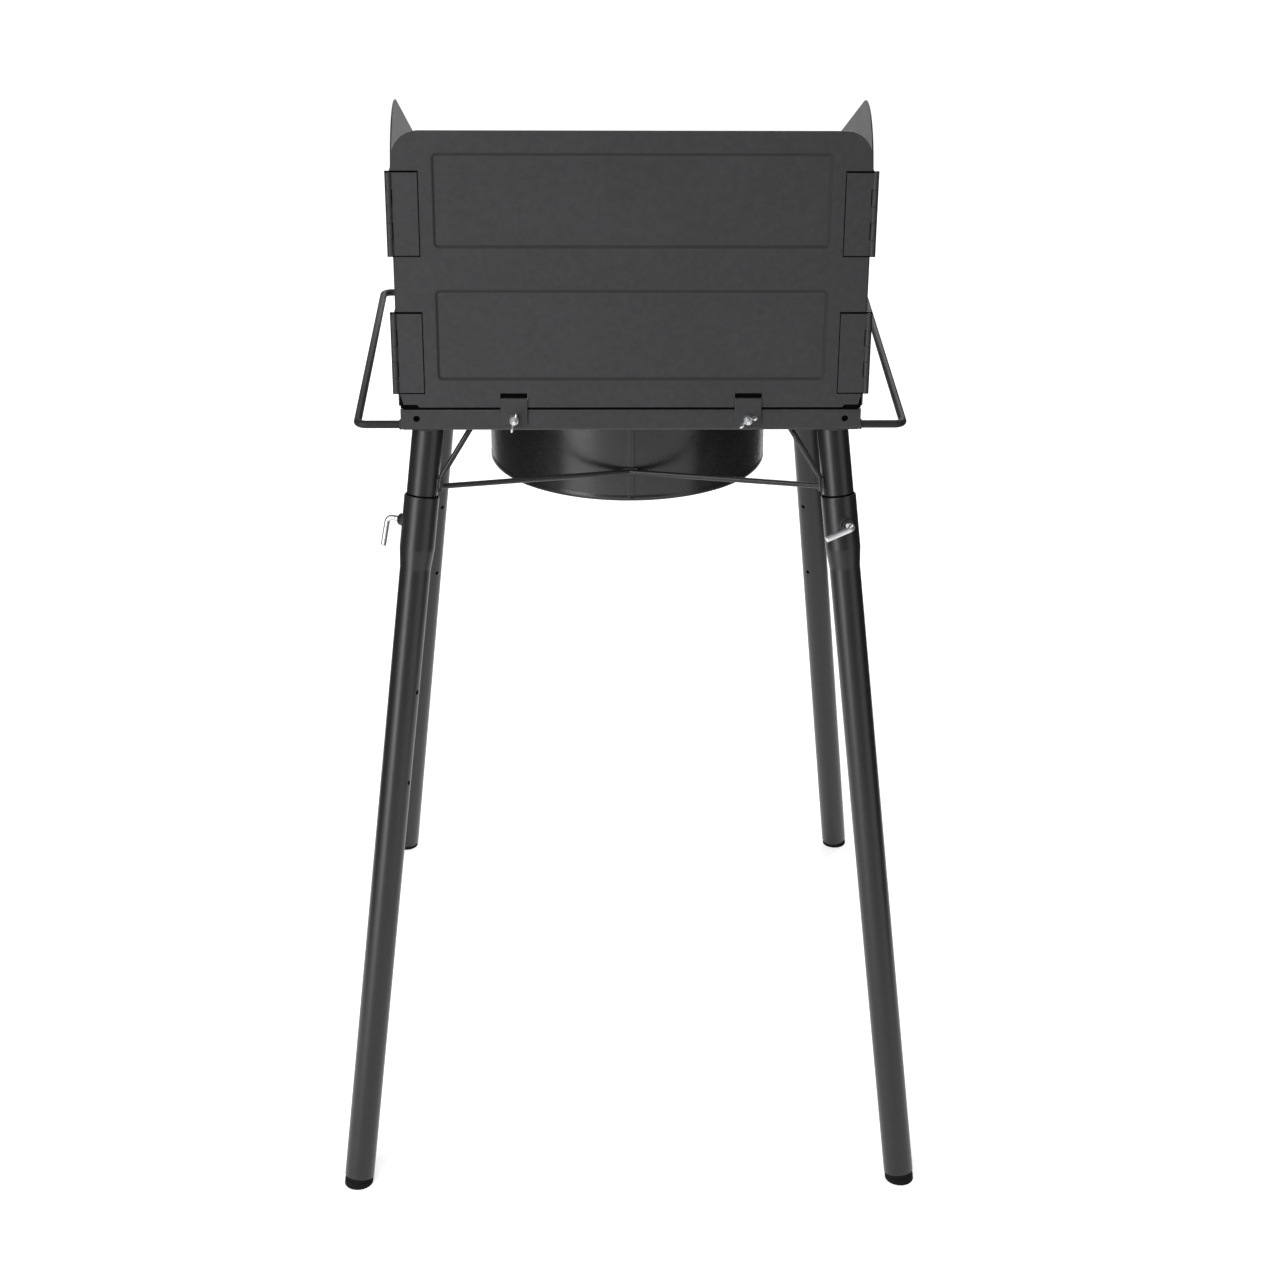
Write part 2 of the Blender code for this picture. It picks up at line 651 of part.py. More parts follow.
def drum(black):
    """Cylindrical wind guard with hemmed edges, a lapped seam and a window for the mixing tube."""
    low = RAIL_BOTTOM - DRUM_BOTTOM
    high = FRAME_TOP - GRATE_DEPTH - GAP
    inner = DRUM_RADIUS - DRUM_WALL
    hem = DRUM_RADIUS - 1.6 * DRUM_WALL
    profile = [(DRUM_RADIUS, low), (DRUM_RADIUS, high), (hem, high), (hem, high - DRUM_HEM),
               (inner, high - DRUM_HEM), (inner, low + DRUM_HEM), (hem, low + DRUM_HEM), (hem, low)]
    frame = Matrix.Translation((0, DRUM_Y, 0))
    made = lathe("burner_drum", profile, DRUM_SIDES, black, frame)
    half = DRUM_WINDOW / 2
    window = rounded_outline([(-half, MIX_Z - half, 0.005), (half, MIX_Z - half, 0.005),
                              (half, MIX_Z + half, 0.005), (-half, MIX_Z + half, 0.005)], steps=3)
    cut(made, prism("drum_window", window, DRUM_Y - DRUM_RADIUS * 1.1, DRUM_Y - DRUM_RADIUS * 0.8,
                    lambda a, b, c: (a, c, b)))
    return made


def burner_body(cast):
    """Cast bowl, hollow under its lid, with the mixing tube running to the valve."""
    rim, floor = BURNER_RIM_Z, BOWL_BOTTOM_Z
    thread = BURNER_BOLT_RADIUS + GAP
    profile = [(thread, floor), (BOWL_FLOOR_RADIUS, floor), (BURNER_RADIUS, rim - 0.008),
               (BURNER_RADIUS, rim), (BURNER_RADIUS - BOWL_WALL, rim), (BURNER_RADIUS - BOWL_WALL, rim - 0.007),
               (BOWL_FLOOR_RADIUS - BOWL_WALL, floor + BOWL_WALL), (thread, floor + BOWL_WALL)]
    made = lathe("burner_body", profile, 36, cast, Matrix.Translation((0, DRUM_Y, 0)))
    mouth, root = MIX_MOUTH_Y, DRUM_Y - BOWL_FLOOR_RADIUS - 0.002
    web, bore = mouth + MIX_WALL, MIX_RADIUS - MIX_WALL
    throat = cylinder_profile(bore + 0.0008, DRUM_Y - BURNER_RADIUS * 1.1, root + 0.0007)
    cut(made, lathe("burner_throat", throat, 18, None, None, along_y(0, MIX_Z)))
    tube = [(JET_RADIUS + GAP, mouth), (MIX_BELL, mouth), (MIX_BELL, mouth + 0.004),
            (MIX_RADIUS, mouth + BELL_LENGTH), (MIX_RADIUS, root), (bore, root), (bore, mouth + BELL_LENGTH), (MIX_BELL - MIX_WALL, web),
            (JET_RADIUS + GAP, web)]
    pipe = lathe("mixing_tube", tube, 24, None, None, along_y(0, MIX_Z))
    cut(pipe, air_windows("mixing_tube_windows", mouth - GAP, web + GAP))
    fuse(made, pipe)
    return made


def air_windows(name, start, end, turn=0.0):
    """Cutters for the three air windows of the tube's mouth and of the shutter in front of it."""
    bm = bmesh.new()
    for i in range(3):
        angle = turn + 2 * math.pi * i / 3
        x, z = SHUTTER_WINDOW_RING * math.sin(angle), SHUTTER_WINDOW_RING * math.cos(angle)
        lathe_into(bm, cylinder_profile(SHUTTER_WINDOW, start, end), SMALL_SIDES, along_y(x, MIX_Z + z))
    return solid(name, bm)


def burner_lid(cast):
    """Lid whose skirt stands on the bowl's rim, notched all round for the gas ports."""
    base = BURNER_RIM_Z + GAP
    top = base + LID_HEIGHT
    skirt = BURNER_RADIUS - BOWL_WALL
    roof = base + PORT_HEIGHT + 0.001
    profile = [(0, roof), (skirt, roof), (skirt, base), (BURNER_RADIUS, base), (BURNER_RADIUS, roof),
               (BURNER_RADIUS - 0.004, top - 0.001), (0.020, top), (0.016, top - 0.002), (0, top - 0.002)]
    frame = Matrix.Translation((0, DRUM_Y, 0))
    made = lathe("burner_lid", profile, PORTS * 2, cast, frame)
    bm = bmesh.new()
    for i in range(PORTS):
        turn = 2 * math.pi * (i + 0.25) / PORTS
        across = Vector((-math.sin(turn), math.cos(turn), 0)) * PORT_WIDTH / 2
        out = Vector((math.cos(turn), math.sin(turn), 0))
        near, far = out * (skirt - 0.002), out * (BURNER_RADIUS + 0.002)
        outline = [near - across, far - across, far + across, near + across]
        prism_into(bm, [(p.x, p.y) for p in outline], base - GAP, base + PORT_HEIGHT,
                   lambda a, b, c: (a, b, c))
    cut(made, solid("burner_ports", bm, None, frame))
    return made


def burner_strap(black):
    """Flat bar across the drum under the burner, its ends turned down and welded to the wall."""
    top = BOWL_BOTTOM_Z - GAP
    bottom = top - STRAP_SHEET
    end = math.sqrt((DRUM_RADIUS - DRUM_WALL) ** 2 - (STRAP_WIDTH / 2) ** 2) - GAP
    inner = end - STRAP_SHEET
    tab = bottom - STRAP_TAB
    section = [(-end, top), (end, top), (end, tab), (inner, tab), (inner, bottom), (-inner, bottom),
               (-inner, tab), (-end, tab)]
    made = prism("burner_strap", section, DRUM_Y - STRAP_WIDTH / 2, DRUM_Y + STRAP_WIDTH / 2,
                 lambda a, b, c: (a, c, b), black)
    hole = cylinder_profile(BURNER_BOLT_RADIUS + GAP, bottom - GAP, top + GAP)
    cut(made, lathe("strap_hole", hole, SMALL_SIDES, None, Matrix.Translation((0, DRUM_Y, 0))))
    return made


def hex_outline(across_corners):
    return [(across_corners * math.cos(math.radians(60 * i)), across_corners * math.sin(math.radians(60 * i)))
            for i in range(6)]


def burner_bolt(zinc):
    seat = BOWL_BOTTOM_Z - STRAP_SHEET - 2 * GAP
    head = seat - 0.004
    tip = BOWL_BOTTOM_Z + BOWL_WALL
    profile = [(0, head), (BURNER_BOLT_RADIUS * 1.8, head), (BURNER_BOLT_RADIUS * 1.8, seat),
               (BURNER_BOLT_RADIUS, seat), (BURNER_BOLT_RADIUS, tip), (0, tip)]
    return lathe("burner_bolt", profile, SMALL_SIDES, zinc, Matrix.Translation((0, DRUM_Y, 0)))


# Control side

def control_panel(black):
    """Folded plate under the front rail that carries the valve."""
    top = RAIL_BOTTOM - GAP
    low = top - PANEL_DROP
    flange = PANEL_Y + PANEL_FLANGE
    section = rounded_outline([(PANEL_Y, low, 0), (PANEL_Y, top, 0.003),
                               (flange, top, 0), (flange, top - PANEL_SHEET, 0),
                               (PANEL_BACK_Y, top - PANEL_SHEET, 0.0015), (PANEL_BACK_Y, low, 0)], steps=3)
    made = prism("control_panel", section, -PANEL_WIDTH / 2, PANEL_WIDTH / 2,
                 lambda a, b, c: (c, a, b), black)
    half, corner = PANEL_WIDTH / 2, 0.018
    bm = bmesh.new()
    for side in (-1, 1):
        edge, inner = side * (half + GAP), side * (half - corner)
        points = [(edge, low + corner)]
        points += arc((inner, low + corner), corner, 0 if side > 0 else 180, -90 if side > 0 else 270, 5)
        points += [(inner, low - GAP), (edge, low - GAP)]
        prism_into(bm, points, PANEL_Y - 0.002, PANEL_Y + 0.004, lambda a, b, c: (a, c, b))
    cut(made, solid("panel_corners", bm))
    cut(made, lathe("panel_hole", cylinder_profile(NECK_RADIUS + GAP, PANEL_Y - 0.002, PANEL_BACK_Y + 0.002),
                    SMALL_SIDES, None, None, along_y(0, MIX_Z)))
    return made


def gas_valve(brass):
    """Valve body behind the panel, its threaded neck through it, bored for the stem."""
    seat = PANEL_BACK_Y + GAP
    back = seat + VALVE_LENGTH
    front = PANEL_Y - NECK_LENGTH + PANEL_SHEET
    profile = [(0, back), (VALVE_RADIUS - 0.003, back), (VALVE_RADIUS - 0.003, back - 0.006),
               (VALVE_RADIUS, back - 0.009), (VALVE_RADIUS, seat + 0.002), (VALVE_RADIUS - 0.002, seat),
               (NECK_RADIUS, seat), (NECK_RADIUS, front), (0, front)]
    made = lathe("gas_valve", profile, 24, brass, None, along_y(0, MIX_Z))
    bore = cylinder_profile(STEM_RADIUS + STEM_CLEARANCE, front - GAP, seat + 0.008)
    cut(made, lathe("valve_bore", bore, SMALL_SIDES, None, None, along_y(0, MIX_Z)))
    return made


def gas_jet(brass):
    """Jet screwed on the valve; its tip stands in the mixing tube's mouth."""
    start = PANEL_BACK_Y + VALVE_LENGTH + 2 * GAP
    tip = MIX_MOUTH_Y + MIX_WALL
    profile = [(0, start), (JET_RADIUS, start), (JET_RADIUS, tip - 0.004), (JET_RADIUS - 0.0025, tip),
               (0, tip)]
    return lathe("gas_jet", profile, SMALL_SIDES, brass, None, along_y(0, MIX_Z))


def gas_inlet(brass):
    """Threaded inlet below the valve, for the hose."""
    top = MIX_Z - VALVE_RADIUS - GAP
    y = PANEL_BACK_Y + VALVE_LENGTH * 0.45
    low = top - INLET_LENGTH
    hex_top, hex_low = top - 0.003, top - 0.010
    spigot = [(0, low), (INLET_RADIUS - 0.001, low), (INLET_RADIUS, low + 0.001), (INLET_RADIUS, top), (0, top)]
    made = lathe("gas_inlet", spigot, 20, brass, Matrix.Translation((0, y, 0)))
    fuse(made, prism("inlet_hex", hex_outline(INLET_HEX), hex_low, hex_top, lambda a, b, c: (a, b, c), None,
                     Matrix.Translation((0, y, 0))))
    cut(made, lathe("inlet_bore", cylinder_profile(0.0035, low - GAP, top - 0.004), SMALL_SIDES, None,
                    Matrix.Translation((0, y, 0))))
    return made


def panel_nut(zinc):
    seat = PANEL_Y - GAP
    made = prism("panel_nut", hex_outline(NECK_RADIUS * 1.6), seat - PANEL_NUT, seat,
                 lambda a, b, c: (a, c, MIX_Z + b), zinc)
    cut(made, lathe("panel_nut_bore", cylinder_profile(NECK_RADIUS + GAP, seat - PANEL_NUT - GAP, seat + GAP),
                    SMALL_SIDES, None, None, along_y(0, MIX_Z)))
    return made


def valve_stem(steel, pivot):
    inner = PANEL_BACK_Y + 0.008
    outer = PANEL_Y - STEM_REACH
    profile = cylinder_profile(STEM_RADIUS, outer - pivot.translation.y, inner - pivot.translation.y)
    return lathe("valve_stem", profile, SMALL_SIDES, steel, pivot, along_y(0, 0))


def control_knob(plastic, pivot):
    """Knob: a round skirt, a bar grip with rounded ends, a pointer ridge and a blind bore."""
    back = PANEL_Y - NECK_LENGTH + PANEL_SHEET - KNOB_STANDOFF - pivot.translation.y
    front = back - KNOB_SKIRT
    tip = front - KNOB_GRIP
    skirt = [(0, back), (KNOB_RADIUS - 0.001, back), (KNOB_RADIUS, back - 0.001),
             (KNOB_RADIUS - 0.0015, front + 0.001), (KNOB_RADIUS - 0.003, front), (0, front)]
    made = lathe("control_knob", skirt, 32, plastic, pivot, along_y(0, 0))
    reach, half = KNOB_RADIUS - 0.0035, KNOB_GRIP_WIDTH / 2
    grip = arc((0, reach - half), half, 0, 180, 8) + arc((0, half - reach), half, 180, 360, 8)
    bm = bmesh.new()
    prism_into(bm, grip, tip, front + 0.002, lambda a, b, c: (a, c, b))
    bmesh.ops.bevel(bm, geom=[e for e in bm.edges if all(abs(v.co.y - tip) < 1e-6 for v in e.verts)],
                    offset=0.0015, segments=2, affect="EDGES", profile=0.5)
    fuse(made, solid("knob_grip", bm, None, pivot))
    outer = PANEL_Y - STEM_REACH - pivot.translation.y
    bore = cylinder_profile(STEM_RADIUS + GAP, outer - GAP, back + GAP)
    cut(made, lathe("knob_bore", bore, SMALL_SIDES, None, pivot, along_y(0, 0)))
    return made


def air_shutter(zinc, pivot):
    """Disc with three windows in front of the mixing tube's mouth, with a finger tab."""
    back = MIX_MOUTH_Y - GAP
    front = back - SHUTTER_SHEET
    hole = JET_RADIUS + GAP
    profile = [(hole, front), (MIX_BELL, front), (MIX_BELL, back), (hole, back)]
    made = lathe("air_shutter", profile, 24, zinc, None, along_y(0, MIX_Z))
    made.data.transform(pivot.inverted())
    made.matrix_world = pivot
    bm = bmesh.new()
    box_into(bm, (-0.003, front, MIX_Z + MIX_BELL - 0.002), (0.003, back, MIX_Z + MIX_BELL + 0.007))
    fuse(made, solid("shutter_tab", bm))
    cut(made, air_windows("shutter_windows", front - GAP, back + GAP, math.radians(25)))
    return made


# Windscreen

def loop_verts(bm, points, y):
    verts = [bm.verts.new((x, y, z)) for x, z in points]
    edges = [bm.edges.new((verts[i], verts[(i + 1) % len(verts)])) for i in range(len(verts))]
    return verts, edges


def rectangle(x0, x1, z0, z1, corner=0.0):
    return rounded_outline([(x0, z0, corner), (x1, z0, corner), (x1, z1, corner), (x0, z1, corner)], steps=2)


def windscreen_back(paint):
    """Back panel: one sheet with two shallow pressings, slots for the clips and relieved corners."""
    half, low, top = HALF_WIDTH, SCREEN_BOTTOM_Z, SCREEN_TOP_Z
    notch_x, chamfer_z = half - SCREEN_NOTCH_X, low + SCREEN_CHAMFER_Z
    foot_x = half - SCREEN_CHAMFER_X
    outline = rounded_outline([
        (-notch_x, low, 0), (notch_x, low, 0), (notch_x + 0.002, low + SCREEN_NOTCH_Z, 0),
        (foot_x, low + SCREEN_NOTCH_Z, 0), (half, chamfer_z, 0), (half, top, SCREEN_CORNER),
        (-half, top, SCREEN_CORNER), (-half, chamfer_z, 0), (-foot_x, low + SCREEN_NOTCH_Z, 0),
        (-notch_x - 0.002, low + SCREEN_NOTCH_Z, 0)], steps=7)
    bm = bmesh.new()
    face_y = HALF_DEPTH
    edges = loop_verts(bm, outline, face_y)[1]
    slot_low, slot_top = RAIL_BOTTOM + CLIP_TOP - CLIP_SHEET - GAP, RAIL_BOTTOM + CLIP_SLOT_TOP
    for side in (-1, 1):
        x0, x1 = side * CLIP_X - CLIP_WIDTH / 2 - GAP, side * CLIP_X + CLIP_WIDTH / 2 + GAP
        edges += loop_verts(bm, rectangle(x0, x1, slot_low, slot_top), face_y)[1]
    wide = PRESSING_HALF_WIDTH
    flank = PRESSING_FLANK
    for below_top, below_low in PRESSINGS:
        z0, z1 = top - below_low, top - below_top
        outer, outer_edges = loop_verts(bm, rectangle(-wide, wide, z0, z1, 0.003), face_y)
        edges += outer_edges
        inner = loop_verts(bm, rectangle(-wide + flank, wide - flank, z0 + flank, z1 - flank, 0.002),
                           face_y - PRESSING_DEPTH)[0]
        for i in range(len(outer)):
            j = (i + 1) % len(outer)
            bm.faces.new((outer[i], outer[j], inner[j], inner[i]))
        bm.faces.new(inner)
    bmesh.ops.triangle_fill(bm, edges=edges, use_beauty=True)
    bmesh.ops.recalc_face_normals(bm, faces=bm.faces)
    if sum(face.normal.y * face.calc_area() for face in bm.faces) < 0:
        bmesh.ops.reverse_faces(bm, faces=bm.faces)
    mesh = bpy.data.meshes.new("windscreen_back")
    bm.to_mesh(mesh)
    bm.free()
    made = add_object("windscreen_back", mesh, paint)
    wall = made.modifiers.new("sheet", "SOLIDIFY")
    wall.thickness = SCREEN_SHEET
    wall.offset = -1.0
    wall.use_even_offset = True
    return made


def wing_outline():
    """Outline of a wing: (distance forward of its rear edge, height)."""
    low = FRAME_TOP + WING_LIFT
    peak = SCREEN_TOP_Z + WING_PEAK
    front_top = peak - WING_LENGTH * math.tan(WING_SLOPE)
    return rounded_outline([(0, low, WING_TOE), (0, peak, WING_SHOULDER),
                            (WING_LENGTH, front_top, WING_CORNER), (WING_LENGTH, low, WING_TOE)], steps=8)


def hinge_pivot(side):
    return Matrix.Translation((side * HINGE_X, HINGE_Y, 0))


def wing(name, side, paint):
    """Side wing: flat sheet whose outer face carries the hinge leaves."""
    outer = -HINGE_OFFSET
    rear = -(KNUCKLE_RADIUS + 2 * SWING_GAP)
    return prism(name, wing_outline(), outer - SCREEN_SHEET, outer,
                 lambda a, b, c: (side * c, rear - a, b), paint, hinge_pivot(side))


def knuckle_spans(top, which):
    step = (LEAF_HEIGHT + SWING_GAP) / KNUCKLES
    spans = []
    for i in range(KNUCKLES):
        if i % 2 == which:
            spans.append((top - (i + 1) * step + SWING_GAP, top - i * step))
    return spans


def hinge_leaf(name, top, which, place, paint, pivot):
    """One leaf with its knuckles; place maps (across, out, z) about the pin to 3-D.

    The pin is riveted into the panel's leaf (which 0); the wing's leaf (which 1) is bored for it.
    """
    skin = -SWING_GAP / 2
    back = skin - LEAF_SHEET
    start = KNUCKLE_RADIUS + 2 * SWING_GAP
    plate = [(start, back), (LEAF_WIDTH, back), (LEAF_WIDTH, skin), (start, skin)]
    made = prism(name, plate, top - LEAF_HEIGHT, top, place, paint, pivot)
    begin = math.degrees(math.asin(skin / KNUCKLE_RADIUS))
    finish_turn = math.degrees(math.asin(back / KNUCKLE_RADIUS))
    curl = arc((0, 0), KNUCKLE_RADIUS, begin, 360 + finish_turn, SMALL_SIDES)
    section = curl + [(start + 0.0005, back), (start + 0.0005, skin)]
    bm = bmesh.new()
    for low, high in knuckle_spans(top, which):
        prism_into(bm, section, low, high, place)
    fuse(made, solid(name + "_knuckles", bm, None, pivot))
    low = top - LEAF_HEIGHT
    if which == 0:
        pin = cylinder_profile(HINGE_PIN_RADIUS, low - HINGE_PIN_HEAD, top + HINGE_PIN_HEAD)
        fuse(made, lathe(name + "_pin", pin, SMALL_SIDES, None, pivot))
    else:
        bore = cylinder_profile(KNUCKLE_BORE, low - GAP, top + GAP)
        cut(made, lathe(name + "_bore", bore, SMALL_SIDES, None, pivot))
    return made


def screen_clip(name, side, paint):
    """Bracket through the panel's slot: its tongue behind the panel, its slotted leg over the rail."""
    outer, inner = CLIP_FACE_Y, HALF_DEPTH - SCREEN_SHEET - GAP
    low, top = RAIL_BOTTOM + CLIP_BOTTOM, RAIL_BOTTOM + CLIP_TOP
    tongue = top + CLIP_TONGUE - CLIP_SHEET
    section = [(outer - CLIP_SHEET, low), (outer, low), (outer, top), (inner, top), (inner, tongue),
               (inner - CLIP_SHEET, tongue), (inner - CLIP_SHEET, top - CLIP_SHEET),
               (outer - CLIP_SHEET, top - CLIP_SHEET)]
    x = side * CLIP_X
    made = prism(name, section, x - CLIP_WIDTH / 2, x + CLIP_WIDTH / 2, lambda a, b, c: (c, a, b), paint)
    slot = BOLT_RADIUS + BOLT_CLEARANCE
    bolt_z = BOLT_HEIGHT_Z
    keyhole = [(x - slot, low - GAP), (x + slot, low - GAP)] + arc((x, bolt_z), slot, 0, 180, 8)
    bm = bmesh.new()
    prism_into(bm, keyhole, outer - 2 * CLIP_SHEET, outer + CLIP_SHEET, lambda a, b, c: (a, c, b))
    for hand in (-1, 1):
        edge = x + hand * (CLIP_WIDTH / 2 + GAP)
        inner_x = x + hand * (CLIP_WIDTH / 2 - CLIP_CORNER)
        points = [(edge, low + CLIP_CORNER)]
        points += arc((inner_x, low + CLIP_CORNER), CLIP_CORNER, 0 if hand > 0 else 180,
                      -90 if hand > 0 else 270, 4)
        points += [(inner_x, low - GAP), (edge, low - GAP)]
        prism_into(bm, points, outer - 2 * CLIP_SHEET, outer + CLIP_SHEET, lambda a, b, c: (a, c, b))
    cut(made, solid(name + "_cuts", bm))
    return made


def clip_bolt(name, side, zinc):
    """Bolt from inside the back rail, through it and through the clip's slot."""
    head_seat = HALF_DEPTH - RAIL_SHEET - GAP
    tip = CLIP_FACE_Y + BOLT_REACH
    profile = [(0, head_seat - BOLT_HEAD), (BOLT_HEAD_RADIUS, head_seat - BOLT_HEAD),
               (BOLT_HEAD_RADIUS, head_seat), (BOLT_RADIUS, head_seat), (BOLT_RADIUS, tip - 0.0006), (BOLT_RADIUS - 0.0006, tip), (0, tip)]
    return lathe(name, profile, SMALL_SIDES, zinc, None, along_y(side * CLIP_X, BOLT_HEIGHT_Z))


def wing_nut(name, side, zinc):
    """Wing nut: a tapered hub between two ears that stand away from the rail."""
    pivot = Matrix.Translation((side * CLIP_X, CLIP_FACE_Y + GAP, BOLT_HEIGHT_Z))
    pivot = pivot @ Matrix.Rotation(NUT_TURN[side], 4, "Y")
    hub = [(0, 0), (NUT_HUB, 0), (NUT_HUB, 0.001), (NUT_TOP, NUT_LENGTH), (0, NUT_LENGTH)]
    made = lathe(name, hub, SMALL_SIDES, zinc, pivot, along_y(0, 0))
    bm = bmesh.new()
    half = NUT_SPAN / 2
    for hand in (-1, 1):
        tip = NUT_LENGTH + NUT_WING_RISE
        ear = [(hand * (NUT_TOP - 0.0008), 0.0012), (hand * (half - 0.0035), NUT_LENGTH - 0.0030),
               (hand * (half - 0.0005), NUT_LENGTH + 0.0005), (hand * half, tip - 0.0025),
               (hand * (half - 0.0015), tip), (hand * (half - 0.0040), NUT_LENGTH + 0.0030),
               (hand * (NUT_TOP - 0.0008), NUT_LENGTH - 0.0008)]
        prism_into(bm, ear, -NUT_WING_SHEET / 2, NUT_WING_SHEET / 2, lambda a, b, c: (a, b, c))
    fuse(made, solid(name + "_ears", bm, None, pivot))
    bore = cylinder_profile(BOLT_RADIUS + BOLT_CLEARANCE, -GAP, NUT_LENGTH + GAP)
    cut(made, lathe(name + "_bore", bore, SMALL_SIDES, None, pivot, along_y(0, 0)))
    return made


# Assembly

CORNERS = {"back_right": (1, 1), "back_left": (-1, 1), "front_right": (1, -1), "front_left": (-1, -1)}
# Direction in which each leg's lock screw points, in degrees from +X, and the turn of its arm
SCREW_AIM = {"back_right": (-26, 8), "back_left": (104, -76),
             "front_right": (-49, 14), "front_left": (229, -12)}


def main():
    clear_scene()
    black = finish("satin_black_paint", (0.026, 0.026, 0.027), 0.48)
    paint = finish("dark_grey_paint", (0.034, 0.034, 0.036), 0.55)
    rubber = finish("black_rubber", (0.012, 0.012, 0.012), 0.8)
    zinc = finish("zinc_plated_steel", (0.62, 0.62, 0.60), 0.32, 1.0)
    steel = finish("plain_steel", (0.42, 0.42, 0.42), 0.38, 1.0)
    cast = finish("cast_aluminium", (0.46, 0.46, 0.45), 0.55, 1.0)
    brass = finish("brass", (0.62, 0.46, 0.20), 0.34, 1.0)
    plastic = finish("black_plastic", (0.018, 0.018, 0.019), 0.45)

    drill_back_rail(cross_rail("back_rail", 1, black))
    cross_rail("front_rail", -1, black)
    for name, side in (("left", -1), ("right", 1)):
        side_rail(f"{name}_rail", side, black)
        handle(f"{name}_handle", side, black)
    grate(black)

    for name, (side_x, side_y) in CORNERS.items():
        frame = leg_frame(side_x, side_y)
        aim, arm_turn = SCREW_AIM[name]
        aimed = turned(frame, aim)
        leg_stub(f"{name}_stub", frame, black)
        leg(f"{name}_leg", aimed, black)
        foot(f"{name}_foot", frame, rubber)
        lock_screw(f"{name}_lock_screw", aimed, math.radians(arm_turn), zinc)
        corner_brace(f"{name}_brace", side_x, side_y, black)
    cross_rod("back_cross_rod", 1, black)
    cross_rod("front_cross_rod", -1, black)

    drum(black)
    burner_body(cast)
    burner_lid(cast)
    burner_strap(black)
    burner_bolt(zinc)

    control_panel(black)
    gas_valve(brass)
    gas_jet(brass)
    gas_inlet(brass)
    panel_nut(zinc)
    knob_pivot = Matrix.Translation((0, PANEL_Y, MIX_Z))
    valve_stem(steel, knob_pivot)
    control_knob(plastic, knob_pivot)
    air_shutter(zinc, Matrix.Translation((0, MIX_MOUTH_Y, MIX_Z)))

    windscreen_back(paint)
    for name, side in (("left", -1), ("right", 1)):
        wing(f"{name}_wing", side, paint)
        for level, below in zip(("upper", "lower"), HINGE_TOPS):
            top = SCREEN_TOP_Z - below
            hinge_leaf(f"{name}_{level}_panel_leaf", top, 0, lambda a, b, c, s=side: (-s * a, b, c), paint,
                       hinge_pivot(side))
            hinge_leaf(f"{name}_{level}_wing_leaf", top, 1, lambda a, b, c, s=side: (s * b, -a, c), paint,
                       hinge_pivot(side))
        screen_clip(f"{name}_clip", side, paint)
        clip_bolt(f"{name}_clip_bolt", side, zinc)
        wing_nut(f"{name}_wing_nut", side, zinc)


main()
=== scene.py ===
"""Looks of the single burner gas stove: painted tube and sheet, plated hardware, cast burner."""

import json
import math

import bmesh
import bpy
from mathutils import Matrix, Vector


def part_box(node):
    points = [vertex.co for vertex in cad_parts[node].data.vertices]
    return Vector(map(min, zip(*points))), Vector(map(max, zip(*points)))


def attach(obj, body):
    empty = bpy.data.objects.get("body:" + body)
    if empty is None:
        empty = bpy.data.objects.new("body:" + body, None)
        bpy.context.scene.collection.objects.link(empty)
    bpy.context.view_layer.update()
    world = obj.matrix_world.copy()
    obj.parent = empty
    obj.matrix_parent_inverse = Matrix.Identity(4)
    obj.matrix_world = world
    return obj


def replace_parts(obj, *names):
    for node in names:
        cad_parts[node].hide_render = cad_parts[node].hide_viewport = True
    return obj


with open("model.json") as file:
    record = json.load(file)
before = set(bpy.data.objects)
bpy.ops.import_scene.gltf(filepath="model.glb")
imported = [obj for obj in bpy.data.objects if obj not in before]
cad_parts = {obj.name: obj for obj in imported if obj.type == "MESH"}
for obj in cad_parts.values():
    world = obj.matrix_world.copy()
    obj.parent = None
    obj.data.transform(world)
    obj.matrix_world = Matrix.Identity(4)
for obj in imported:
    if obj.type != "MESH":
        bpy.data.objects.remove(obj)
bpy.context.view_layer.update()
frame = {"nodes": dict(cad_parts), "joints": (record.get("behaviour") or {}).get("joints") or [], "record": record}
BODY_OF = {node: body for body, members in frame["record"]["behaviour"]["bodies"].items() for node in members}
SLOT_OF = {entry["node"]: entry["material_slot"] for entry in frame["record"]["subparts"]}
JOINTS = {joint["name"]: joint for joint in frame["joints"]}
CORNERS = {"back_right": (1, 1), "back_left": (-1, 1), "front_right": (1, -1), "front_left": (-1, -1)}
SIDES = {"left": -1, "right": 1}


# Sizes, as in the part's source

GAP = 0.0003
HALF_WIDTH = 0.203
HALF_DEPTH = 0.210
RAIL_BOTTOM = 0.7260
FRAME_TOP = 0.7465
RAIL_HOLE_X = 0.189
RAIL_HOLE_Z = 0.7372
RAIL_HOLE_SHADE = 0.0036        # radius of the black disc of painted shade behind a rail's hole
FLANGE_EDGE = 0.014             # of the rails' top flanges, from the outer faces
TUBE_RADIUS = 0.0140
TUBE_WALL = 0.0015
TUBE_BORE = TUBE_RADIUS - TUBE_WALL
SOCKET_OUTER = 0.0158
SCREW_TO_MOUTH = 0.0257         # from the lock screw up to the socket's mouth
SOCKET_LENGTH = 0.0488
SOCKET_TAPER = 0.0180
LEG_HOLES = (0.1561, 0.2431)    # below the lock screw
LEG_HOLE_RADIUS = 0.0022
SCREW_FROM_RAIL = 0.0909
STUB_UNCUT = 0.115               # above the lock screw, before the rails' height cuts it
FOOT_SHOWING = 0.0075
FOOT_RADIUS = 0.0136
SCREW_RADIUS = 0.0026
SCREW_REACH = 0.0185
SCREW_ARM = 0.0270
SCREW_BEND = 0.0050
SCREW_PITCH = 0.0008            # of its thread, and of the clip bolts'
SCREW_TURN = {"back_right": 8, "back_left": -76, "front_right": 14, "front_left": -12}
BOSS_RADIUS = 0.0056
BOSS_HEIGHT = 0.0048
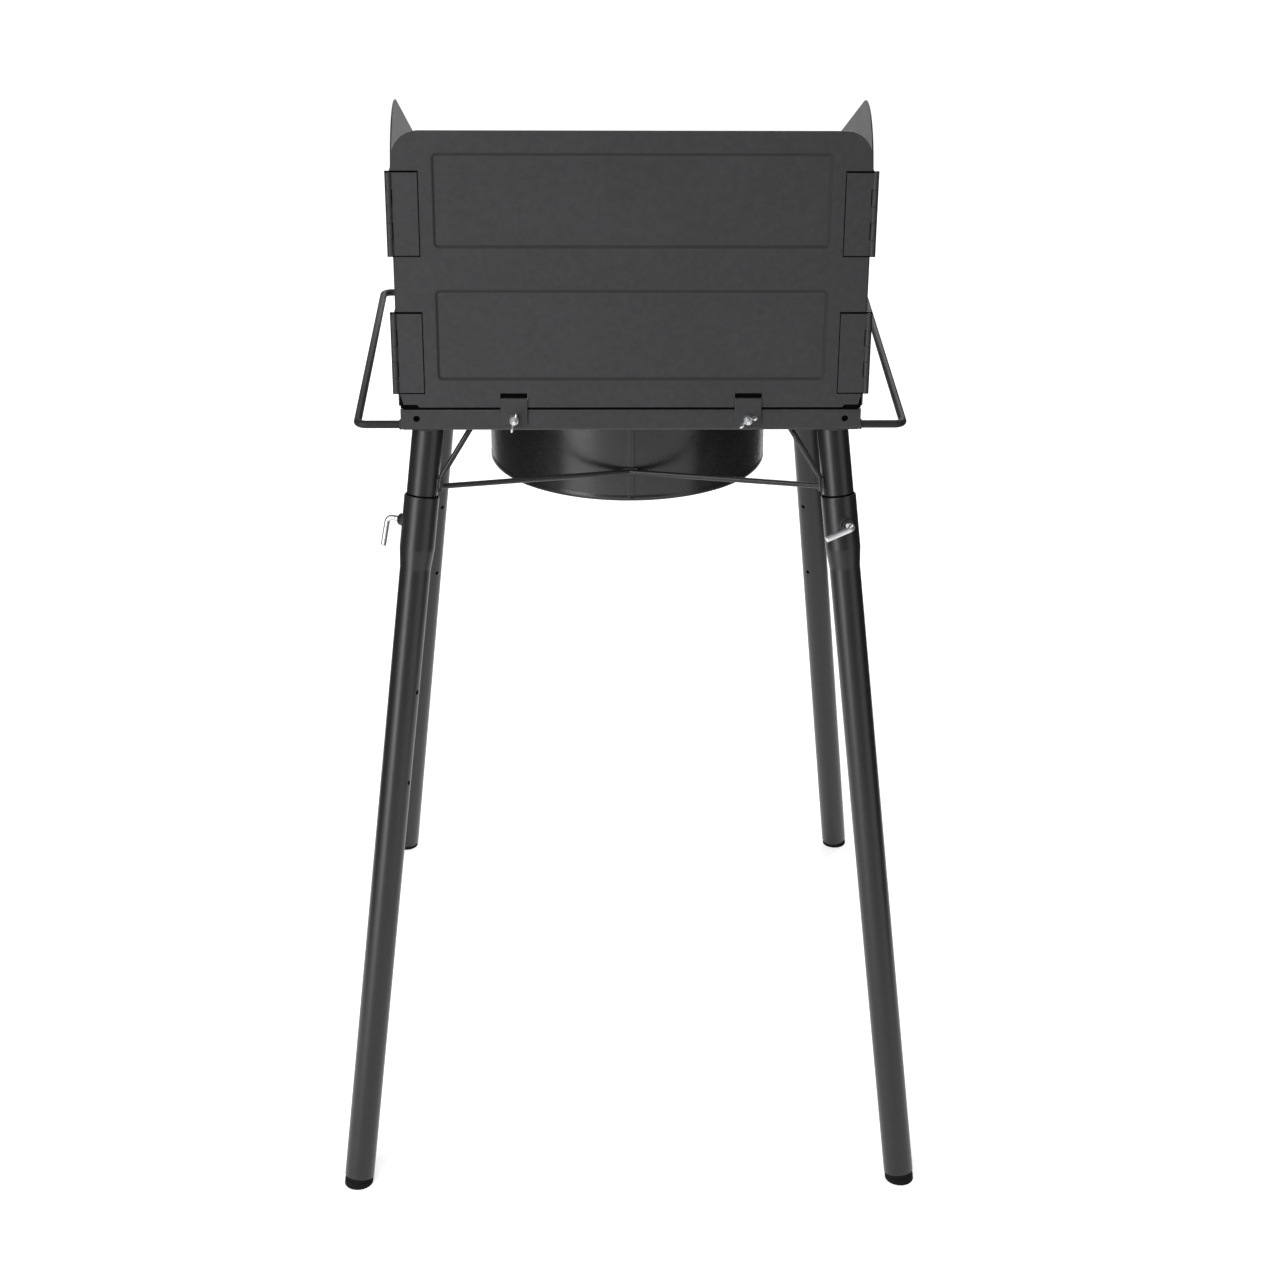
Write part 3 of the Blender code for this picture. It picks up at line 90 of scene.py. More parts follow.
BRACE_RADIUS = 0.0025
HANDLE_RADIUS = 0.0035
DRUM_Y = 0.0236
DRUM_RADIUS = 0.1320
DRUM_WALL = 0.0015
DRUM_LOW = 0.6380
DRUM_HIGH = 0.7362
BURNER_RADIUS = 0.056
BURNER_RIM_Z = 0.7045
BURNER_BOLT_BORE = 0.0033
STRAP_HALF_WIDTH = 0.011
STRAP_WELD = (0.6640, 0.6750)   # heights of the ends of its welds
MIX_Z = 0.6920
SCREEN_SHEET = 0.0012
SCREEN_LOW = 0.7477
SCREEN_HIGH = 0.9912
SCREEN_NOTCH = HALF_WIDTH - 0.0170
PRESSINGS = ((0.0192, 0.1002), (0.1376, 0.2182))  # upper and lower edges, below the top
PRESSING_HALF_WIDTH = 0.1690
PRESSING_DEPTH = 0.0008
PRESSING_FLANK = 0.0016
HINGE_X = 0.2057
HINGE_Y = 0.21145
CLIP_X = 0.1030
CLIP_WIDTH = 0.0235
CLIP_SLOT = (0.7546, 0.7607)    # heights of the panel's slots for the clips
CLIP_SLOT_SHADE = (0.7566, 0.7610)
LEAF_SHADE_LINE = 0.0007           # width of the painted shadow line round a hinge leaf
BOLT_Z = 0.7377
BOLT_RADIUS = 0.0025
CLIP_FACE_Y = 0.2118
SPLAY_SIDE = math.radians(6.43)
SPLAY_BACK = math.radians(10.63)
LEG_TOP = (0.180, 0.190)
BRACE_SWING = math.radians(20)  # of a brace's foot round the stub, outwards
CROSS_SWING = math.radians(-25)  # of a long rod's end round the stub, inwards
BRACE_DROP = 0.0455
BRACE_RUN = 0.0390
CROSS_DROP = 0.0585
HANDLE_BACK_X = 0.2419
HANDLE_FRONT_X = 0.2505
HANDLE_END_Y = 0.2055
HANDLE_Z = 0.7305
HANDLE_BEND = 0.0085
DRUM_WINDOW = 0.0400
GRATE_BARS = 6
GRATE_PITCH = 0.0620
GRATE_BAR = 0.0040
GRATE_LOW = 0.7365
GRATE_SEAT = 0.7468
GRATE_TOP = 0.7525
GRATE_EAR = 0.0100
GRATE_CROSS_Y = 0.095
BOWL_FLOOR_RADIUS = 0.034
BOWL_WALL = 0.0040
BOWL_LOW = 0.6785
LID_BASE = 0.7048
LID_TOP = 0.7138
PORTS = 24
PORT_WIDTH = 0.0026
PORT_HEIGHT = 0.0030
MIX_RADIUS = 0.0110
MIX_BELL = 0.0165
MIX_WALL = 0.0025
MIX_MOUTH_Y = -0.150
BELL_LENGTH = 0.022
AIR_WINDOW_RADIUS = 0.0038
AIR_WINDOW_RING = 0.0098
JET_RADIUS = 0.0050
PANEL_FACE_Y = -0.2075
JET_BACK_Y = PANEL_FACE_Y + 0.0321
VALVE_RADIUS = 0.0110
KNOB_RADIUS = 0.0210
KNOB_BACK_Y = PANEL_FACE_Y - 0.0105
KNOB_RIBS = 60
KNOB_GRIP = 0.0050              # half its width
INLET_Y = PANEL_FACE_Y + 0.0150
INLET_RADIUS = 0.0066
INLET_LENGTH = 0.0240
INLET_HEXAGON = 0.0085          # to its points
WING_LENGTH = 0.370
WING_PEAK = 1.02988             # a little under the source's, because the shoulder's curve is finer here
WING_LOW = 0.7483
WING_SLOPE = math.radians(20.35)
WING_SHOULDER = 0.0625
WING_CORNER = 0.0240
WING_TOE = 0.0060
WING_FACE = 0.00145             # from the hinge pin's axis in to the wing's outer face
WING_REAR = 0.0030              # from the hinge pin's axis forward to the wing's rear edge
SCREEN_CORNER = 0.0240
NUT_HUB = 0.0042
NUT_TOP = 0.0037
NUT_LENGTH = 0.0065
NUT_SPAN = 0.0185
NUT_EAR_SHEET = 0.0018
NUT_EAR_RISE = 0.0060
NUT_TURN = {"left": 31, "right": 75}


# Node trees

class Value:
    """The output of a node, which takes part in plain arithmetic."""

    def __init__(self, tree, socket):
        self.tree = tree
        self.socket = socket

    def math(self, operation, first, second):
        return self.tree.add("ShaderNodeMath", {"operation": operation}, {0: first, 1: second})

    def __add__(self, other):
        return self.math("ADD", self, other)

    def __radd__(self, other):
        return self.math("ADD", other, self)

    def __sub__(self, other):
        return self.math("SUBTRACT", self, other)

    def __rsub__(self, other):
        return self.math("SUBTRACT", other, self)

    def __mul__(self, other):
        return self.math("MULTIPLY", self, other)

    def __rmul__(self, other):
        return self.math("MULTIPLY", other, self)


class Tree:
    """A node tree being built."""

    def __init__(self, tree):
        self.tree = tree

    def add(self, kind, settings=None, inputs=None, output=0):
        node = self.tree.nodes.new(kind)
        for name, value in (settings or {}).items():
            if name == "stops":
                for stop, (place, colour) in zip(node.color_ramp.elements, value):
                    stop.position = place
                    stop.color = (*colour, 1.0)
            else:
                setattr(node, name, value)
        for name, value in (inputs or {}).items():
            self.feed(node.inputs[name], value)
        return Value(self, node.outputs[output])

    def feed(self, socket, value):
        if isinstance(value, Value):
            self.tree.links.new(value.socket, socket)
        else:
            socket.default_value = value


class Finish(Tree):
    """A material around one Principled shader, patterned on Object coordinates."""

    def __init__(self, name):
        self.material = bpy.data.materials.new(name)
        self.material.use_nodes = True
        super().__init__(self.material.node_tree)
        self.shader = self.tree.nodes["Principled BSDF"]
        self.place = self.add("ShaderNodeTexCoord", output="Object")

    def noise(self, scale, detail=2.0, roughness=0.5, place=None):
        return self.add("ShaderNodeTexNoise", None, {"Vector": place or self.place, "Scale": scale, "Detail": detail,
                                                     "Roughness": roughness}, "Fac")

    def stretched(self, scale):
        return self.add("ShaderNodeMapping", None, {"Vector": self.place, "Scale": scale})

    def ramp(self, value, low, high):
        """A mask that goes from 0 to 1 as the value goes from low to high."""
        return self.add("ShaderNodeMapRange", {"clamp": True}, {"Value": value, "From Min": low, "From Max": high})

    def blend(self, mask, first, second):
        made = self.add("ShaderNodeMix", {"data_type": "RGBA"}, None, 2)
        node = made.socket.node
        self.feed(node.inputs[0], mask)
        self.feed(node.inputs[6], first if isinstance(first, Value) else (*first, 1.0))
        self.feed(node.inputs[7], second if isinstance(second, Value) else (*second, 1.0))
        return made

    def relief(self, height, depth, strength=1.0, under=None):
        inputs = {"Height": height, "Distance": depth, "Strength": strength}
        if under:
            inputs["Normal"] = under
        return self.add("ShaderNodeBump", None, inputs)

    def shade(self, **inputs):
        for name, value in inputs.items():
            socket = self.shader.inputs[name.replace("_", " ").title().replace("Ior", "IOR")]
            if isinstance(value, tuple):
                value = (*value, 1.0)
            self.feed(socket, value)
        return self.material


def powder_coat(name, colour, gloss, sheen):
    """Stoved powder paint: a fine orange peel, with cloudy changes in its sheen."""
    coat = Finish(name)
    peel = coat.noise(1300.0, 2.0)
    swell = coat.noise(260.0, 1.0)
    cloud = coat.noise(16.0, 3.0, 0.6)
    speck = coat.ramp(coat.noise(2600.0, 1.0), 0.66, 0.76)
    mottle = coat.ramp(coat.noise(170.0, 2.0, 0.6), 0.30, 0.70)
    base = coat.blend(cloud * 0.5 + mottle * 0.5, tuple(c * 0.80 for c in colour), tuple(c * 1.20 for c in colour))
    base = coat.blend(speck * 0.25, base, tuple(c * 1.7 for c in colour))
    return coat.shade(base_color=base, roughness=gloss - 0.05 + cloud * 0.10 + peel * 0.04,
                      specular_ior_level=sheen, normal=coat.relief(peel * 0.6 + swell * 0.8, 0.00010, 0.6))


def weld_paint():
    """Paint over a rough weld."""
    coat = Finish("painted_weld")
    lump = coat.noise(700.0, 4.0, 0.65)
    pit = coat.noise(2200.0, 2.0)
    return coat.shade(base_color=coat.blend(lump, (0.012, 0.012, 0.013), (0.034, 0.034, 0.036)),
                      roughness=0.34 + lump * 0.3, normal=coat.relief(lump + pit * 0.4, 0.00035, 0.9))


def zinc_plate():
    """Bright zinc plate: clear highlights, a bluish cast and faint drawing marks."""
    plate = Finish("zinc_plate")
    cloud = plate.noise(90.0, 3.0, 0.6)
    marks = plate.noise(2400.0, 2.0, 0.5, plate.stretched((1.0, 1.0, 0.12)))
    return plate.shade(base_color=plate.blend(cloud, (0.66, 0.67, 0.68), (0.80, 0.81, 0.82)), metallic=1.0,
                       roughness=0.30 + cloud * 0.12 + marks * 0.10, normal=plate.relief(marks, 0.00004, 0.5))


def turned_metal(name, dull, bright, roughness):
    """Lathe-turned metal whose tool marks run round the Y axis."""
    metal = Finish(name)
    rings = metal.add("ShaderNodeTexWave", {"bands_direction": "Y"},
                      {"Vector": metal.place, "Scale": 900.0, "Distortion": 0.6, "Detail": 1.0}, "Fac")
    cloud = metal.noise(120.0, 3.0, 0.6)
    return metal.shade(base_color=metal.blend(cloud, dull, bright), metallic=1.0, roughness=roughness + cloud * 0.16,
                       normal=metal.relief(rings, 0.00004, 0.4))


def cast_metal():
    """Sand-cast aluminium, dulled, with a grainy skin and small pits."""
    cast = Finish("sand_cast_aluminium")
    grain = cast.noise(900.0, 4.0, 0.7)
    lumps = cast.noise(160.0, 3.0, 0.6)
    pits = cast.add("ShaderNodeTexVoronoi", None, {"Vector": cast.place, "Scale": 420.0}, "Distance")
    holes = 1.0 - cast.ramp(pits, 0.05, 0.22)
    return cast.shade(base_color=cast.blend(lumps, (0.30, 0.30, 0.295), (0.52, 0.52, 0.51)), metallic=0.85,
                      roughness=0.50 + grain * 0.25, normal=cast.relief(grain + lumps - holes * 0.7, 0.0004, 0.8))


def moulded(name, colour, roughness, sheen, texture, depth):
    """Moulded rubber or plastic with an even grain."""
    made = Finish(name)
    grain = made.noise(texture, 2.0)
    cloud = made.noise(40.0, 3.0, 0.6)
    return made.shade(base_color=made.blend(cloud, tuple(c * 0.85 for c in colour), tuple(c * 1.25 for c in colour)),
                      roughness=roughness + cloud * 0.10, specular_ior_level=sheen,
                      normal=made.relief(grain, depth, 0.7))


FINISHES = {
    "satin_black_paint": powder_coat("satin_black_paint_coat", (0.014, 0.014, 0.015), 0.32, 0.46),
    "dark_grey_paint": powder_coat("dark_grey_paint_coat", (0.037, 0.037, 0.039), 0.46, 0.32),
    "black_rubber": moulded("moulded_rubber", (0.008, 0.008, 0.008), 0.72, 0.12, 900.0, 0.00012),
    "zinc_plated_steel": zinc_plate(),
    "plain_steel": turned_metal("turned_steel", (0.36, 0.36, 0.37), (0.50, 0.50, 0.51), 0.26),
    "cast_aluminium": cast_metal(),
    "brass": turned_metal("turned_brass", (0.52, 0.36, 0.15), (0.68, 0.50, 0.23), 0.22),
    "black_plastic": moulded("moulded_plastic", (0.018, 0.018, 0.019), 0.38, 0.5, 1500.0, 0.00006),
}
WELD = weld_paint()
HANDLE_PAINT = powder_coat("handle_coat", (0.022, 0.022, 0.023), 0.52, 0.22)
DRUM_PAINT = powder_coat("drum_coat", (0.016, 0.016, 0.017), 0.25, 0.45)
# Flat black for painted shade, on pieces put where the stove only lies in shadow
SHADE = Finish("deep_shade").shade(base_color=(0.003, 0.003, 0.003), roughness=1.0, specular_ior_level=0.0)
# Painted shade: darker paint on the pressings' flanks, for the shadow lines along them
CREASE_SHADE = Finish("paint_in_a_crease").shade(base_color=(0.028, 0.028, 0.029), roughness=0.6, specular_ior_level=0.2)
for node, item in frame["nodes"].items():
    item.data.materials.clear()
    item.data.materials.append(FINISHES[SLOT_OF[node]])


# Meshes

def circle(radius, count, extra=0):
    """Points (a, b) round a full turn, with extra ones that run on past it."""
    return [(radius * math.cos(2 * math.pi * k / count), radius * math.sin(2 * math.pi * k / count))
            for k in range(count + extra)]


def steps_from(radius, height, *steps):
    """Profile points given as steps away from one place of the profile."""
    return [(radius + out, height + up) for out, up in steps]


def ease(steps):
    """Numbers from 0 to 1 that start and end slowly."""
    return [(1 - math.cos(math.pi * i / steps)) / 2 for i in range(steps + 1)]


def round_corner(before, corner, after, radius, steps):
    """Points of the arc that rounds one corner of a path, in 2-D or 3-D."""
    p, c, q = Vector(before), Vector(corner), Vector(after)
    u, v = (p - c).normalized(), (q - c).normalized()
    half = u.angle(v) / 2
    centre = c + (u + v).normalized() * (radius / math.sin(half))
    start = c + u * (radius / math.tan(half)) - centre
    end = c + v * (radius / math.tan(half)) - centre
    span = start.angle(end)
    points = []
    for i in range(steps + 1):
        t = i / steps
        points.append(centre + (start * math.sin((1 - t) * span) + end * math.sin(t * span)) / math.sin(span))
    return points


def rounded_outline(corners, steps=12):
    """A closed outline from (a, b, radius) corners."""
    points = []
    for i, (a, b, radius) in enumerate(corners):
        if radius:
            before, after = corners[i - 1][:2], corners[(i + 1) % len(corners)][:2]
            points += [tuple(p) for p in round_corner(before, (a, b), after, radius, steps)]
        else:
            points.append((a, b))
    return points


def rectangle(x0, x1, z0, z1, corner, steps=5):
    return rounded_outline([(x0, z0, corner), (x1, z0, corner), (x1, z1, corner), (x0, z1, corner)], steps)


def rounded_path(corners, radius, steps=10):
    points = [Vector(corners[0])]
    for before, corner, after in zip(corners, corners[1:], corners[2:]):
        points += round_corner(before, corner, after, radius, steps)
    return points + [Vector(corners[-1])]


def bridge(bm, first, second):
    """Faces between two closed rings of as many points."""
    pairs = [(i, (i + 1) % len(first)) for i in range(len(first))]
    return [bm.faces.new((first[i], first[j], second[j], second[i])) for i, j in pairs]


def sweep_into(bm, points, radius, sides=24, nose=0.0):
    """A round bar along points; nose is how far its ends are chamfered."""
    points = [Vector(p) for p in points]
    tangents = []
    for i in range(len(points)):
        before, after = points[max(i - 1, 0)], points[min(i + 1, len(points) - 1)]
        tangents.append((after - before).normalized())
    stations = [(p, t, radius) for p, t in zip(points, tangents)]
    if nose:
        first, last = stations[0], stations[-1]
        stations[0] = (first[0] + first[1] * nose, first[1], radius)
        stations[-1] = (last[0] - last[1] * nose, last[1], radius)
        stations = [(first[0], first[1], radius - nose)] + stations + [(last[0], last[1], radius - nose)]
    normal = tangents[0].orthogonal().normalized()
    rings = []
    for place, tangent, size in stations:
        normal = (normal - tangent * normal.dot(tangent)).normalized()
        across = tangent.cross(normal)
        rings.append([bm.verts.new(place + (normal * a + across * b) * size) for a, b in circle(1.0, sides)])
    for ring, other in zip(rings, rings[1:]):
        bridge(bm, ring, other)
    bm.faces.new(list(reversed(rings[0])))
    bm.faces.new(rings[-1])


def turn_into(bm, profile, sides, place):
    """Turn a profile of (radius, height) points; off the axis at both ends it closes on itself."""
    rings = []
    for radius, height in profile:
        count = 1 if radius == 0 else sides
        rings.append([bm.verts.new(place @ Vector((a, b, height))) for a, b in circle(radius, sides)[:count]])
    solid = len(rings[0]) == 1
    for i in range(len(rings) - (1 if solid else 0)):
        first, second = rings[i], rings[(i + 1) % len(rings)]
        for k in range(sides):
            j = (k + 1) % sides
            if len(first) == 1:
                bm.faces.new((first[0], second[k], second[j]))
            elif len(second) == 1:
                bm.faces.new((first[k], second[0], first[j]))
            else:
                bm.faces.new((first[k], second[k], second[j], first[j]))


def plug_into(bm, radius, start, end, place):
    """A plain round plug along Z."""
    turn_into(bm, [(0, start), (radius, start), (radius, end), (0, end)], 24, place)


def prism_into(bm, outline, start, end, place=lambda *point: point):
    """Extrude (a, b) points from start to end; place maps (a, b, c) to a point."""
    low = [bm.verts.new(place(a, b, start)) for a, b in outline]
    high = [bm.verts.new(place(a, b, end)) for a, b in outline]
    bm.faces.new(low)
    bm.faces.new(high)
    bridge(bm, low, high)


def box_into(bm, low, high):
    prism_into(bm, [low[:2], (high[0], low[1]), high[:2], (low[0], high[1])], low[2], high[2])


def cut_level(bm, height, **side):
    """Cut a shape at a height and clear one side of the cut."""
    bmesh.ops.bisect_plane(bm, geom=bm.verts[:] + bm.edges[:] + bm.faces[:], plane_co=(0, 0, height),
                           plane_no=(0, 0, 1), **side)


def new_object(name, mesh):
    made = bpy.data.objects.new(name, mesh)
    bpy.context.scene.collection.objects.link(made)
    return made


def mesh_from(name, bm, turn_out=True):
    if turn_out:
        bmesh.ops.recalc_face_normals(bm, faces=bm.faces)
    mesh = bpy.data.meshes.new(name)
    bm.to_mesh(mesh)
    bm.free()
    return mesh


def smooth(mesh, sharp=35):
    """Shade a mesh smooth but for edges sharper than an angle in degrees."""
    mesh.shade_smooth()
    mesh.set_sharp_from_angle(angle=math.radians(sharp))
    return mesh


def evaluated_mesh(item):
    return bpy.data.meshes.new_from_object(item.evaluated_get(bpy.context.evaluated_depsgraph_get()))


def piece_from(name, bm, material, sharp=35, turn_out=True):
    made = new_object(name, smooth(mesh_from(name, bm, turn_out), sharp))
    made.data.materials.append(material)
    return made


def turned(name, profile, sides, place, material, sharp=35):
    """A piece turned from one profile."""
    bm = bmesh.new()
    turn_into(bm, profile, sides, place)
    return piece_from(name, bm, material, sharp)


def extruded(name, outline, start, end, place, material):
    """A piece extruded from one outline."""
    bm = bmesh.new()
    prism_into(bm, outline, start, end, place)
    return piece_from(name, bm, material)


def soften(piece, width, segments=2, angle=40):
    """Round a piece's edges."""
    step = piece.modifiers.new("rounded_edges", "BEVEL")
    step.width = width
    step.segments = segments
    step.limit_method = "ANGLE"
    step.angle_limit = math.radians(angle)
    step.use_clamp_overlap = True
    step.harden_normals = True
    return piece


def even_shading(piece):
    """Shade the large flat faces flat where bends and rounded edges meet them."""
    piece.modifiers.new("even_shading", "WEIGHTED_NORMAL").keep_sharp = True
    return piece


def carve(piece, tool):
    """Cut a tool's shape out of a piece for good."""
    step = piece.modifiers.new("carving", "BOOLEAN")
    step.operation = "DIFFERENCE"
    step.solver = "EXACT"
    step.object = tool
    shape = evaluated_mesh(piece)
    piece.modifiers.remove(step)
    old = piece.data
    piece.data = smooth(shape)
    bpy.data.meshes.remove(old)
    bpy.data.objects.remove(tool)
    return piece


def trim(piece, body="frame"):
    """Tie a small piece to a body, over the CAD nodes there."""
    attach(piece, body)
    return piece


def wear_for(piece, node):
    """Tie a piece to the CAD node that it stands for."""
    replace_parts(trim(piece, BODY_OF[node]), node)
    return piece


def refined(node, width, finish=None, segments=2):
    """A piece from a CAD node's own shape, with its facets rejoined and its edges rounded."""
    bm = bmesh.new()
    bm.from_mesh(frame["nodes"][node].data)
    bmesh.ops.remove_doubles(bm, verts=bm.verts, dist=1e-5)
    bmesh.ops.dissolve_limit(bm, angle_limit=math.radians(0.8), verts=bm.verts, edges=bm.edges)
    piece = piece_from(f"{node}_finished", bm, finish or FINISHES[SLOT_OF[node]], 35, False)
    wear_for(even_shading(soften(piece, width, segments)), node)


# Trees that repeat a shape

class Pattern(Tree):
    """A Geometry Nodes tree with named inputs, run once on a mesh."""

    def __init__(self, name, sizes):
        group = bpy.data.node_groups.new(name, "GeometryNodeTree")
        super().__init__(group)
        group.interface.new_socket("Geometry", in_out="INPUT", socket_type="NodeSocketGeometry")
        self.names = {}
        for size, kind in {**sizes, "Material": "Material"}.items():
            socket = group.interface.new_socket(size, in_out="INPUT", socket_type=f"NodeSocket{kind}")
            self.names[size] = socket.identifier
        group.interface.new_socket("Geometry", in_out="OUTPUT", socket_type="NodeSocketGeometry")
        start = group.nodes.new("NodeGroupInput")
        self.start = {socket.name: Value(self, socket) for socket in start.outputs if socket.name}
        self.end = group.nodes.new("NodeGroupOutput")

    def copies(self, points, shape, **inputs):
        return self.add("GeometryNodeInstanceOnPoints", None, {"Points": points, "Instance": shape, **inputs})

    def close(self, shape):
        """Realize the instances and hand the shape to the material that is asked for."""
        shape = self.add("GeometryNodeRealizeInstances", None, {"Geometry": shape})
        shape = self.add("GeometryNodeSetMaterial", None, {"Geometry": shape, "Material": self.start["Material"]})
        self.feed(self.end.inputs[0], shape)
        return self

    def run(self, name, mesh, sharp=40, **sizes):
        """A new object from the tree on a mesh, with its sizes set."""
        carrier = new_object(name + "_pattern", mesh)
        step = carrier.modifiers.new("pattern", "NODES")
        step.node_group = self.tree
        for size, value in sizes.items():
            step[self.names[size]] = value
        shape = evaluated_mesh(carrier)
        bpy.data.objects.remove(carrier)
        bpy.data.meshes.remove(mesh)
        return new_object(name, smooth(shape, sharp))


def bead_pattern():
    """Weld beads of uneven size, laid one over the other along the edges of a mesh."""
    tree = Pattern("weld_beads", {"Bead": "Float", "Spacing": "Float", "Seed": "Int"})
    path = tree.add("GeometryNodeMeshToCurve", None, {"Mesh": tree.start["Geometry"]})
    path = tree.add("GeometryNodeResampleCurve", {"mode": "LENGTH"}, {"Curve": path, "Length": tree.start["Spacing"]})
    ball = tree.add("GeometryNodeMeshIcoSphere", None, {"Radius": tree.start["Bead"], "Subdivisions": 2})
    size = tree.add("FunctionNodeRandomValue", {"data_type": "FLOAT"},
                    {2: 0.80, 3: 1.18, "Seed": tree.start["Seed"]}, 1)
    spin = tree.add("FunctionNodeRandomValue", {"data_type": "FLOAT_VECTOR"},
                    {1: (6.28, 6.28, 6.28), "Seed": tree.start["Seed"]})
    return tree.close(tree.copies(path, ball, Rotation=spin, Scale=size))


def thread_pattern():
    """A screw thread's ridge, wound up the Z axis from the origin."""
    tree = Pattern("screw_thread", dict.fromkeys(("Radius", "Length", "Turns", "Ridge"), "Float"))
    spiral = tree.add("GeometryNodeCurveSpiral", None,
                      {"Resolution": 28, "Rotations": tree.start["Turns"], "Start Radius": tree.start["Radius"],
                       "End Radius": tree.start["Radius"], "Height": tree.start["Length"]})
    ridge = tree.add("GeometryNodeCurvePrimitiveCircle", {"mode": "RADIUS"},
                     {"Resolution": 5, "Radius": tree.start["Ridge"]})
    return tree.close(tree.add("GeometryNodeCurveToMesh", None,
                               {"Curve": spiral, "Profile Curve": ridge, "Fill Caps": True}))


def ring_pattern():
    """Copies of a mesh set round the Z axis, each turned to face out."""
    tree = Pattern("ring_of_copies", {"Count": "Int", "Radius": "Float"})
    ring = tree.add("GeometryNodeMeshCircle", None, {"Vertices": tree.start["Count"], "Radius": tree.start["Radius"]})
    share = tree.add("ShaderNodeMath", {"operation": "DIVIDE"}, {0: 1.0, 1: tree.start["Count"]})
    turn = tree.add("GeometryNodeInputIndex") * (2 * math.pi) * share
    spin = tree.add("ShaderNodeCombineXYZ", None, {"Z": turn})
    return tree.close(tree.copies(ring, tree.start["Geometry"], Rotation=spin))


def row_pattern():
    """Copies of a mesh in a row along X, centred on the origin."""
    tree = Pattern("row_of_copies", {"Count": "Int", "Pitch": "Float"})
    step = tree.add("ShaderNodeCombineXYZ", None, {"X": tree.start["Pitch"]})
    back = (1.0 - tree.start["Count"]) * tree.start["Pitch"] * 0.5
    start = tree.add("ShaderNodeCombineXYZ", None, {"X": back})
    line = tree.add("GeometryNodeMeshLine", None, {"Count": tree.start["Count"], "Start Location": start,
                                                   "Offset": step})
    return tree.close(tree.copies(line, tree.start["Geometry"]))


BEADS = bead_pattern()
THREAD = thread_pattern()
RING = ring_pattern()
ROW = row_pattern()


def weld(name, paths, size, seed, body="frame"):
    """Painted weld beads along paths of points, on one body."""
    mesh = bpy.data.meshes.new("weld_paths")
    points, edges = [], []
    for path in paths:
        edges += [(len(points) + i, len(points) + i + 1) for i in range(len(path) - 1)]
        points += [tuple(p) for p in path]
    mesh.from_pydata(points, edges, [])
    trim(BEADS.run(name, mesh, 60, Bead=size, Spacing=size * 0.75, Seed=seed, Material=WELD), body=body)


def thread(name, radius, length, pitch, place, slot, body="frame"):
    """A thread of the right pitch, placed by a matrix whose Z is its axis."""
    made = THREAD.run(name, bpy.data.meshes.new("blank"), 70, Radius=radius - pitch * 0.22, Length=length,
                      Turns=length / pitch, Ridge=pitch * 0.42, Material=FINISHES[slot])
    made.data.transform(place)
    trim(made, body)


def ring_of(name, count, bm, place, slot, body="frame"):
    """Copies of a shape round an axis, placed by a matrix whose Z is that axis."""
    made = RING.run(name, mesh_from("copied_shape", bm), 35, Count=count, Radius=0.0, Material=FINISHES[slot])
    made.data.transform(place)
    trim(made, body)


def circle_points(centre, normal, radius, count):
    """Points of a closed circle in space."""
    side = Vector(normal).normalized().orthogonal().normalized()
    other = Vector(normal).normalized().cross(side)
    return [Vector(centre) + (side * a + other * b) * radius for a, b in circle(1.0, count, 1)]


def axes(origin, z, x):
    """A placing matrix from its origin, its Z direction and a direction near its X."""
    z = Vector(z).normalized()
    y = z.cross(Vector(x)).normalized()
    made = Matrix((y.cross(z), y, z)).transposed().to_4x4()
    made.translation = origin
    return made


def around_y(z):
    """Axes of a turned piece at a height on the middle plane: its Z runs back along +Y."""
    return axes((0, 0, z), (0, 1, 0), (1, 0, 0))


BLACK = FINISHES["satin_black_paint"]
GREY = FINISHES["dark_grey_paint"]
ZINC = FINISHES["zinc_plated_steel"]
CAST = FINISHES["cast_aluminium"]
BRASS = FINISHES["brass"]
PLASTIC = FINISHES["black_plastic"]
VALVE_LINE = around_y(MIX_Z)
BURNER_LINE = Matrix.Translation((0, DRUM_Y, 0))


# Legs, feet and lock screws

def leg_place(corner):
    """Axes at the lock screw: Z up the leg, X out along the screw."""
    screw = JOINTS[f"{corner}_lock_screw_turn"]
    down = Vector(JOINTS[f"{corner}_leg_slide"]["axis"])
    return axes(Vector(screw["pos_m"]), -down, screw["axis"])


def along_screw(start):
    """Axes in a leg's own, from a distance out along its lock screw."""
    return axes((start, 0, 0), (1, 0, 0), (0, 0, 1))


def tube_end(place):
    """Height of the end of a leg's tube, below its lock screw."""
    up = place.to_3x3().col[2]
    return -(RAIL_BOTTOM / up.z - SCREW_FROM_RAIL - FOOT_SHOWING)


